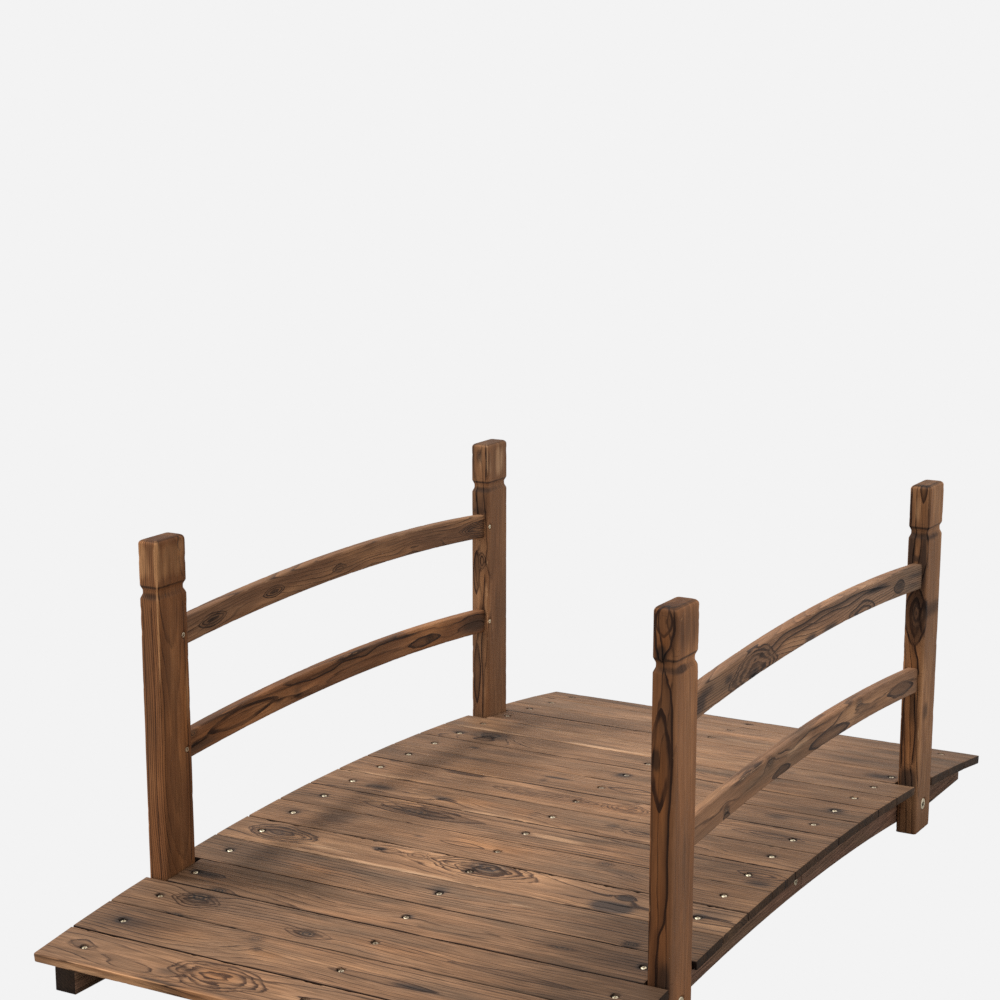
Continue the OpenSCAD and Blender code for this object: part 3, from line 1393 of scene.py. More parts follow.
@dataclass(kw_only=True)
class PostBoard(Board):
    """A post: a board that stands up, with housings for two rails and a cove under its head.

    Attributes:
        housings: Low and high end of each housing along the post.
        housing_width: Width of a housing.
        housing_depth: Depth of a housing.
        facing: Side of the post that faces the rails: 1 or -1 through the board.
        cove: Place of the middle of the cove along the post.
        cove_depth: Depth of the cove.
        cove_flat: Half the height of the cove's flat bottom.
        cove_half: Half the height of the whole cove.
        cove_soft: Rounding of the cove's corners.
        crown: Rounding of the edges round the top.
    """

    housings: list[tuple[float, float]]
    housing_width: float
    housing_depth: float
    facing: int
    cove: float
    cove_depth: float = 0.003
    cove_flat: float = 0.00275
    cove_half: float = 0.0095
    cove_soft: float = 0.0008
    crown: float

    def open_up(self, bm: Shape) -> None:
        """Opens the two housings in the face that the rails enter.

        Args:
            bm: The board.
        """
        for side in (-1, 1):
            cut(bm, Axis.Y, side * self.housing_width / 2)
        for low, high in self.housings:
            cut(bm, Axis.X, low)
            cut(bm, Axis.X, high)
        face_z = self.facing * self.size[2] / 2
        for low, high in self.housings:
            mouth = []
            for face in bm.faces:
                centre = face.calc_center_median()
                if (low < centre.x < high and abs(centre.y) < self.housing_width / 2
                        and abs(centre.z - face_z) < TINY):
                    mouth.append(face)
            grown = bmesh.ops.extrude_face_region(bm, geom=mouth)["geom"]
            floor = [item for item in grown if isinstance(item, bmesh.types.BMVert)]
            bmesh.ops.translate(bm, verts=floor, vec=(0.0, 0.0, -self.facing * self.housing_depth))

    def shape(self, points: np.ndarray) -> np.ndarray:
        """Draws the post in at the cove, between two slopes, and rounds the top over.

        Args:
            points: Points of the worn board.

        Returns:
            The points of the post.
        """
        away = np.abs(points[:, 0] - self.cove)
        slopes = [np.clip((self.cove_half - away + shift) / (self.cove_half - self.cove_flat), 0.0, 1.0)
                  for shift in (-self.cove_soft, 0.0, self.cove_soft)]
        brow = self.size[0] / 2 - self.crown
        turn = np.clip((points[:, 0] - brow) / self.crown, 0.0, 1.0) * math.pi / 2
        inset = self.cove_depth * sum(slopes) / 3.0 + self.crown * (1.0 - np.cos(turn))
        shaped = points.copy()
        shaped[:, 0] = np.where(turn > 0.0, brow + self.crown * np.sin(turn), points[:, 0])
        shaped[:, 1] *= 1.0 - 2.0 * inset / self.size[1]
        shaped[:, 2] *= 1.0 - 2.0 * inset / self.size[2]
        return shaped


def aside(*marks: Mark | Vein) -> tuple[Mark | Vein, ...]:
    """The same marks on the side of the board instead of its figured face."""
    return tuple(replace(mark, aside=True) for mark in marks)


def joint(wide: float, low: float = -430, high: float = 430) -> Vein:
    """A dark line along a plank's near edge, of half its width, from one place to another: char of the edge, and
    painted shade of the gap to the next plank.
    """
    return Vein(((low, -41.2), (high, -41.2)), wide, -1)


# How each deck plank was cut and burnt, counted from the near end. Its marks are placed by their
# distance to the left of the bridge's middle and beyond the plank's own middle.
# The planks' darker ends are painted shade of the railings.
PLANK_GRAIN: dict[int, Grain] = {
    # The first plank's front side is brightened with painted light.
    1: Grain(6, -38, shade=1.04, side_light_and_tone=1.35, painted_end_shade=(0.12, 0.34), marks=(
        Eye(140, 3, 92, 38, 5), ToastedAndSheen(142, 7, 26, 13, 1.5), ToastedAndSheen(140, 0, 120, 30, 0.6),
        Smudge(212, -10, 20, 8, 0.6), Smudge(205, -38, 46, 6, 0.8), Eye(369, 7, 24, 12, 1),
        Smudge(377, 5, 12, 6, 0.6), RubbedAndHighlight(120, -40, 300, 4, 0.6), Lens(262, -24, 70, 16, 2.2),
        *aside(ToastedAndSheen(0, 0, 420, 30, 2.1), RubbedAndHighlight(300, -3, 90, 5, 0.7)))),
    2: Grain(-62, -30, shade=1.04, marks=(
        joint(1.3), Smudge(335, -2, 80, 22, 0.55), Smudge(350, -2, 30, 14, 0.2),
        ToastedAndSheen(290, 0, 60, 20, 0.8), Lens(142, 4, 62, 15, 2.6), Knot(155, 27, 10, 7, 0.5),
        Knot(136, 3, 5, 4, 0.7), ToastedAndSheen(120, -3, 30, 10, 1.2), Eye(-62, -2, 100, 9, 1, 0.3),
        Smudge(-116, -3, 40, 6.5, 0.95))),
    3: Grain(58, -26, shade=1.06, painted_end_shade=(0.30, 0.55), marks=(
        Knot(303, 15, 17, 11), Smudge(303, 15, 13, 9), Eye(300, 5, 48, 21, 4),
        Knot(99, -17, 12, 7), Smudge(98, -17, 10, 5), Eye(96, -16, 44, 13, 2),
        Knot(300, -42, 7, 5, 0.9), Eye(-215, -7, 106, 9, 1, 0.35), Smudge(-215, -7, 90, 6, 0.3),
        ToastedAndSheen(-60, -6, 90, 16, 0.8), Lens(-238, -34, 24, 6, 1.4), Smudge(205, 2, 90, 36, 0.4))),
    4: Grain(-50, -34, shade=1.18, painted_end_shade=(0.34, 0.54), marks=(
        joint(1.4), Eye(334, 0, 34, 10, 1, 0.3), Smudge(337, 0, 26, 8, 0.95), Lens(-14, 2, 88, 14, 2.8),
        Lens(-135, 3, 42, 7, 1.8), Lens(180, 4, 60, 8, 1.4), Knot(-238, 4, 16, 5, 0.9),
        Smudge(-345, 4, 60, 30, 0.6), Knot(290, -38, 11, 6, 0.9), Smudge(290, -38, 9, 5, 0.8))),
    5: Grain(70, -24, burn=Burn.GREY, shade=1.22, painted_end_shade=(0.34, 0.56), marks=(
        joint(0.8), Smudge(300, 10, 90, 28, 0.45), Smudge(150, 14, 60, 16, 0.35),
        Knot(-316, -33, 8, 5, 0.9), Smudge(-316, -33, 10, 6, 0.8), Smudge(6, 13, 18, 12, 0.6),
        RubbedAndHighlight(205, -13, 28, 7, 0.9), ToastedAndSheen(208, -10, 34, 13, 1.4), RubbedAndHighlight(-128, 13, 26, 3.4, 1.3),
        Smudge(-290, 6, 120, 32, 0.4), Lens(-60, -12, 150, 12, 1.5))),
    6: Grain(2, -42, burn=Burn.LIGHT, shade=1.14, painted_end_shade=(0.30, 0.42), marks=(
        Eye(326, 3, 70, 30, 4), Knot(333, 2, 20, 12, 0.7), Eye(144, 17, 24, 10, 1),
        Smudge(162, 17, 13, 6, 1.1), Eye(96, 17, 20, 13, 2, 0.3), Knot(-19, 23, 28, 19, 0.9),
        Smudge(-19, 23, 30, 20, 0.4), Eye(-8, 18, 104, 33, 4), ToastedAndSheen(60, 0, 150, 22, 0.3),
        Smudge(-240, -24, 30, 16, 1.3), Eye(-244, 13, 19, 12, 1, 0.3), Smudge(-244, 13, 12, 8, 1.1),
        Smudge(-372, 15, 38, 20, 0.6), Smudge(-215, 0, 80, 34, 0.4), RubbedAndHighlight(210, -16, 70, 18, 0.75),
        RubbedAndHighlight(150, -38, 260, 4, 0.8))),
    7: Grain(-74, -28, shade=1.2, painted_end_shade=(0.30, 0.44), marks=(
        joint(0.7, -430, 60), Smudge(290, 8, 40, 34, 0.62), Smudge(366, 2, 26, 24, 0.42),
        Knot(-163, 27, 10, 6, 0.8), Lens(-186, 8, 46, 14, 2.4), Smudge(-212, -2, 34, 20, 0.4),
        Eye(62, 0, 44, 9, 1), Smudge(135, 0, 11, 3, 0.8), ToastedAndSheen(20, 10, 70, 16, 1.2),
        RubbedAndHighlight(20, 20, 50, 7, 0.6))),
    8: Grain(48, -30, shade=1.12, painted_end_shade=(0.30, 0.42), marks=(
        joint(0.8, -300, 60), Knot(195, 3, 22, 11, 0.7), Eye(184, 5, 126, 23, 2, 0.22),
        Smudge(196, 3, 54, 14, 0.48), Smudge(385, 2, 34, 18, 0.45), Smudge(-385, -24, 22, 14, 0.75),
        Smudge(84, -6, 70, 30, 0.4), RubbedAndHighlight(-60, 0, 60, 24, 0.75), Eye(-380, 8, 46, 16, 2, 0.2),
        Vein(((-400, 27), (-100, 23), (60, 25), (180, 33), (290, 24)), 0.9, 1),
        Vein(((-420, -8), (-200, -6), (-60, -9), (40, -14)), 0.6, -1))),
    9: Grain(-44, -34, shade=1.12, painted_end_shade=(0.14, 0.34), marks=(
        joint(1.3), Smudge(306, -8, 28, 13, 0.62), Lens(300, -8, 60, 14, 2.4), Smudge(190, -7, 20, 8, 0.6),
        Lens(182, -6, 50, 14, 2.6), Smudge(28, -4, 11, 17, 0.5), ToastedAndSheen(140, -6, 40, 14, 1.2),
        ToastedAndSheen(46, -8, 20, 16), Knot(-101, 5, 7, 6, 0.8), Eye(-150, -4, 36, 15, 2),
        Lens(-254, -2, 40, 16, 2.4), Lens(-362, 2, 44, 16, 2.4), RubbedAndHighlight(60, -37, 120, 4, 0.8),
        Smudge(-96, 40, 36, 4, 0.9))),
    10: Grain(40, -36, shade=1.18, painted_end_shade=(0.20, 0.34), marks=(
        Eye(62, 2, 110, 20, 4), Lens(230, -2, 60, 12, 2.0), Eye(-86, 4, 44, 22, 4),
        Eye(-320, -2, 66, 14, 2), RubbedAndHighlight(350, -38, 72, 4, 0.9), Smudge(135, 2, 12, 3, 0.9),
        ToastedAndSheen(-60, 0, 90, 20, 0.9), ToastedAndSheen(330, 10, 60, 18, 0.8))),
    11: Grain(66, -30, shade=1.06, marks=(
        joint(1.4), Smudge(84, 8, 26, 5), Smudge(98, -14, 9, 12, 0.6), Smudge(250, 34, 56, 10, 0.5),
        Smudge(-296, 6, 22, 14, 0.5), Lens(-318, 0, 50, 18, 2.6), Eye(-52, 5, 50, 15, 1),
        RubbedAndHighlight(0, 20, 60, 8, 0.4), ToastedAndSheen(180, -20, 90, 16, 0.8))),
    12: Grain(-58, -28, shade=1.1, painted_end_shade=(0.16, 0.34), marks=(
        Smudge(233, 5, 60, 18, 0.5), Smudge(288, 10, 9, 5, 0.7), Smudge(3, -5, 18, 15, 0.75),
        Smudge(-360, -4, 24, 20, 0.62), Lens(-243, 2, 40, 10, 2.0), Lens(120, -8, 60, 12, 2.0))),
    13: Grain(-46, -36, shade=1.04, painted_end_shade=(0.20, 0.34), marks=(
        joint(1.3), Knot(306, 13, 30, 24, 0.45), Smudge(306, 14, 34, 25, 0.45), Lens(303, 10, 60, 26, 3.0),
        Smudge(370, 6, 24, 18, 0.35), ToastedAndSheen(-250, 6, 30, 14, 1.2), Lens(-60, 5, 90, 14, 2.0))),
    14: Grain(72, -26, burn=Burn.LIGHT, shade=1.06, marks=(
        joint(1.1, -430, -200), Smudge(-213, 6, 16, 16, 0.5), RubbedAndHighlight(90, -33, 90, 7, 1.3),
        RubbedAndHighlight(300, -38, 120, 4, 0.8), ToastedAndSheen(330, 0, 60, 22), Lens(60, 4, 95, 13, 1.6))),
    15: Grain(-64, -30, shade=1.16, painted_end_shade=(0.0, 0.34), marks=(
        joint(1.0, -430, -220), Smudge(368, 22, 14, 8, 0.5), Smudge(303, 26, 10, 6, 0.5),
        Smudge(210, 24, 20, 7, 0.45), Smudge(152, 28, 22, 10, 0.5), Smudge(-95, 16, 22, 12, 0.5),
        Smudge(-344, -10, 30, 17, 0.9), RubbedAndHighlight(-20, -14, 50, 5, 0.8))),
    16: Grain(56, -28, shade=1.03, painted_end_shade=(0.34, 0.34), marks=(
        joint(1.3, 80, 410), Smudge(287, 0, 28, 14, 0.4), Lens(120, 0, 80, 14, 2.0),
        RubbedAndHighlight(-30, -30, 60, 6, 0.7), RubbedAndHighlight(-70, 2, 70, 24, 0.75))),
    17: Grain(-80, -24, burn=Burn.GREY, shade=1.32, painted_end_shade=(0.10, 0.44), marks=(
        Smudge(-210, 14, 18, 9, 0.5), RubbedAndHighlight(330, 6, 70, 6, 0.6), Lens(-60, 0, 90, 10, 1.6))),
    18: Grain(60, -30, shade=1.05, marks=(
        Smudge(0, 40, 520, 8, 0.75), Lens(200, 0, 70, 13, 2.0), Smudge(290, 16, 60, 12, 0.4),
        Smudge(120, 6, 150, 26, 0.4))),
}


@dataclass
class Deck:
    """Planks that lie square to the arch, and the screws that hold them.

    Attributes:
        count: Number of planks.
        thickness: Thickness of a plank.
        edge: Rounding of a plank's long edges.
        rows: Places of the rows of screws, to the left of the middle.
        ages: How far the screws of each row have rusted, on the near and on the last planks.
        last: Number of the first of those last planks.
        spread: How much older or newer than those a screw may be.
        screw: Radius of a screw's head.
        hole: Radius and depth of the hole that it sits in.
        dark_ring: Radii and strength of the darker ring round it, in millimetres.
        sunk: Depth of the head's face in it, on the first planks and on the others.
        first: Number of those first planks.
        wander: How far a screw strays from its row.
        ragged: Planks with a torn edge, and the greatest depth of its chips.
        painted_end_shade: Painted shade of the railings: how much darker the planks get toward their left and their
            right end.
        side_burn_and_shade: How much darker the sides of the planks are, but for the first one's: char, and painted
            shade in the gaps between them.
        climb: Greatest climb of a plank's pith, in millimetres in each metre.
        rings: Least and greatest width of a year ring in millimetres.
        seed: Number that sets what differs by chance.
    """

    count: int = 18
    thickness: float = 0.014
    edge: float = 0.002
    rows: tuple[float, ...] = (0.360, 0.0, -0.360)
    ages: tuple[tuple[float, float], ...] = ((0.05, 0.4), (0.6, 0.8), (0.2, 0.25))
    last: int = 14
    spread: float = 0.15
    screw: float = 0.0047
    hole: tuple[float, float] = (0.0068, 0.0045)
    dark_ring: tuple[float, float, float] = (8.5, 8.0, 0.8)
    sunk: tuple[float, float] = (0.0023, 0.0010)
    first: int = 3
    wander: float = 0.0015
    ragged: dict[int, float] = field(default_factory=lambda: {1: 0.001, 6: 0.002, 9: 0.001})
    painted_end_shade: tuple[float, ...] = (0.30, 0.34)
    side_burn_and_shade: float = 0.6
    climb: float = 16.0
    rings: tuple[float, float] = (5.2, 7.2)
    seed: int = 18

    def names(self) -> list[str]:
        """Names of the planks' nodes, from the near end."""
        return [f"plank_{k:02d}" for k in range(1, self.count + 1)]

    def arch_centre(self) -> float:
        """Finds the centre of the arch, which is as far from every plank.

        Returns:
            Its height.
        """
        boxes = [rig.box(name) for name in (self.names()[0], self.names()[self.count // 2])]
        end, top = ((low + high) / 2 for low, high in boxes)
        return (end.x ** 2 + end.z ** 2 - top.x ** 2 - top.z ** 2) / (2 * (end.z - top.z))

    def plank(self, k: int, centre_z: float) -> tuple[Matrix, tuple[float, float, float]]:
        """Place and size of one plank.

        Args:
            k: Number of the plank, from 1.
            centre_z: Height of the centre of the arch.

        Returns:
            Matrix of the plank's middle, and its length, width and thickness.
        """
        low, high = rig.box(self.names()[k - 1])
        middle = (low + high) / 2
        turn = math.atan2(middle.x, middle.z - centre_z)
        flat = high.x - low.x - 2 * self.edge - (self.thickness - 2 * self.edge) * math.sin(abs(turn))
        width = flat / math.cos(turn) + 2 * self.edge
        across = Vector((math.cos(turn), 0.0, -math.sin(turn)))
        return frame_matrix(-Axis.Y.vector, across, middle), (high.y - low.y, width, self.thickness)

    def build(self, wood: Finish, steel: Finish) -> list[Piece]:
        """Builds the planks and their screws.

        Args:
            wood: Finish of the planks.
            steel: Finish of the screws.

        Returns:
            The pieces.
        """
        centre_z = self.arch_centre()
        rng = np.random.default_rng(self.seed)
        dark_rings = tuple(Smudge(-row / MM, 0.0, *self.dark_ring) for row in self.rows)
        pieces = []
        screws: list[Matrix] = []
        ages: list[float] = []
        for k, name in enumerate(self.names(), start=1):
            place, size = self.plank(k, centre_z)
            given = PLANK_GRAIN[k]
            turned = tuple(mark.turned() for mark in given.marks)
            grain = replace(given, climb=rng.uniform(-self.climb, self.climb),
                            ring=rng.uniform(*self.rings), marks=turned + dark_rings,
                            painted_end_shade=given.painted_end_shade or self.painted_end_shade)
            here = []
            for row, years in zip(self.rows, self.ages):
                ages.append(years[k >= self.last] + rng.uniform(-self.spread, self.spread))
                stray = rng.uniform(-self.wander, self.wander, 2)
                spot = Matrix.Translation((-row + stray[0], stray[1], size[2] / 2))
                here.append(place @ spot @ Matrix.Rotation(rng.uniform(0, math.tau), 4, "Z"))
            board = Board(size, self.edge, grain, 10 * k, chips=self.ragged.get(k, Board.chips),
                          side_burn_and_shade=self.side_burn_and_shade * (k > 1),
                          recesses=[Recess(spot, *self.hole) for spot in here])
            pieces.append(board.build(wood, place, name, "plank_wood"))
            screws.extend(raised(spot, -self.sunk[k > self.first]) for spot in here)
        pieces.append(scatter("deck_screws", WoodScrew(self.screw).head(), screws, steel,
                              "screw_metal", ages))
        return pieces


@dataclass
class WoodScrew:
    """Countersunk screw head with a cross recess.

    Attributes:
        radius: Radius of the head's face.
    """

    # In radii: the head's height, its radius at the bottom, the rounding of its dome, and the length,
    # width and depth of the cross.
    HEIGHT = 0.9
    BOTTOM = 0.5
    DOME = 0.36
    CROSS = (1.15, 0.26, 0.7)

    radius: float

    def head(self) -> Shape:
        """Builds the head with the top of its low dome at the origin, facing Z.

        Returns:
            The head.
        """
        bm = bmesh.new()
        add_disc(bm, 24, (self.BOTTOM * self.radius, self.radius), (-self.HEIGHT * self.radius, 0.0))
        rim = [edge for edge in bm.edges if all(vert.co.z > -TINY for vert in edge.verts)]
        bevel(bm, rim, self.DOME * self.radius, 5)
        piece = add_object("head", bm)
        for turn in (0.0, math.pi / 2):
            slot = bmesh.new()
            bmesh.ops.create_cube(slot, size=1.0)
            bmesh.ops.scale(slot, vec=Vector(self.CROSS) * self.radius, verts=slot.verts)
            bmesh.ops.rotate(slot, matrix=Matrix.Rotation(turn, 3, "Z"), verts=slot.verts)
            cut_out(piece, slot)
        bm = bmesh.new()
        bm.from_mesh(piece.data)
        bpy.data.meshes.remove(piece.data)
        return bm


@dataclass
class SocketBolt:
    """Round bolt head with a hexagonal socket.

    Attributes:
        radius: Radius of the head.
    """

    # In radii: the head's height, the width and rounding of its rim, and the socket's distance from
    # that rim, the width of its wall and its depth.
    HEIGHT = 0.34
    RIM = (0.14, 0.12)
    SOCKET = (0.40, 0.02, 0.32)

    radius: float

    def head(self) -> Shape:
        """Builds the head with its face at the origin, facing Z.

        Returns:
            The head.
        """
        bm = bmesh.new()
        add_disc(bm, 36, (self.radius, self.radius), (-self.HEIGHT * self.radius, 0.0))
        width, rounding = (share * self.radius for share in self.RIM)
        face = [face for face in bm.faces if face.normal.z > 0.9]
        bmesh.ops.inset_region(bm, faces=face, thickness=width, depth=0.0)
        rim = [edge for edge in bm.edges if all(vert.co.z > -TINY and vert.co.length > 0.99 * self.radius
                                                for vert in edge.verts)]
        bevel(bm, rim, rounding, 3)
        away, wall, depth = (share * self.radius for share in self.SOCKET)
        face = max(bm.faces, key=lambda item: item.calc_area() if item.normal.z > 0.9 else 0.0)
        for thickness in (away, wall):
            bmesh.ops.inset_region(bm, faces=[face], thickness=thickness, depth=0.0)
        bmesh.ops.translate(bm, verts=face.verts[:], vec=(0, 0, -depth))
        return bm


@dataclass
class HexNut:
    """Hexagonal nut on its washer, with the bolt's end through it.

    Attributes:
        thread: Radius of the bolt.
        steps: Radius, height and number of sides of the washer, the nut and the bolt's end, in
            radii of the bolt.
        rounding: Rounding of their top edges, in the same radii.
    """

    thread: float = 0.004
    steps: tuple[tuple[float, float, int], ...] = ((2.0, 0.4, 36), (1.87, 1.6, 6), (1.0, 0.6, 24))
    rounding: float = 0.1

    def shape(self) -> Shape:
        """Builds the nut with the washer's back at the origin, facing Z.

        Returns:
            The nut.
        """
        bm = bmesh.new()
        low = 0.0
        for radius, height, sides in self.steps:
            radius, top = radius * self.thread, low + height * self.thread
            added = add_disc(bm, sides, (radius, radius), (low, top))
            rim = [edge for edge in bm.edges
                   if all(vert in added and vert.co.z > top - TINY for vert in edge.verts)]
            bevel(bm, rim, self.rounding * self.thread, 2)
            low = top
        return bm


def scatter(name: str, shape: Shape, places: list[Matrix], material: Finish,
            slot: str, ages: list[float] | None = None) -> Piece:
    """Sets copies of a small shape in their places, as one joined piece.

    Args:
        name: Name of the piece.
        shape: The shape, which is freed.
        places: Matrix of each copy.
        material: Finish of the copies.
        slot: Material slot of the record.
        ages: How far each copy has rusted: not at all if this is left out.

    Returns:
        The joined piece.
    """
    shape.verts.layers.float.new("age")
    hollow = shape.verts.layers.float.new("hollow")
    reach = max(vert.co.xy.length for vert in shape.verts)
    for vert in shape.verts:
        vert[hollow] = float(vert.co.z < -0.15 * reach and vert.co.xy.length < 0.65 * reach)
    one = bpy.data.meshes.new(name + "_one")
    shape.to_mesh(one)
    shape.free()
    bm = bmesh.new()
    for place, years in zip(places, ages or [0.0] * len(places)):
        first = len(bm.verts)
        bm.from_mesh(one)
        bm.verts.ensure_lookup_table()
        age = bm.verts.layers.float["age"]
        bmesh.ops.transform(bm, matrix=place, verts=bm.verts[first:])
        for vert in bm.verts[first:]:
            vert[age] = years
    bpy.data.meshes.remove(one)
    piece = add_object(name, bm)
    piece.data.materials.append(material)
    return seat(piece, None, slot)


def burnt_top(strength: float) -> tuple[Mark | Vein, ...]:
    """The burnt edge round a post's top, on its figured face and its side."""
    top = Smudge(574, 0, 3, 60, strength)
    return top, *aside(top)


# Painted shade in the cove under each post's head: a dark line under the head's lip and a softer darkening lower down,
# on the figured face and on the side.
COVE_SHADE = (Smudge(505.5, 0, 1.8, 22, 0.85), Smudge(492, 0, 4.5, 20, 0.6),
              *aside(Smudge(505.5, 0, 1.8, 44, 0.8), Smudge(492, 4, 4.5, 34, 0.5)))
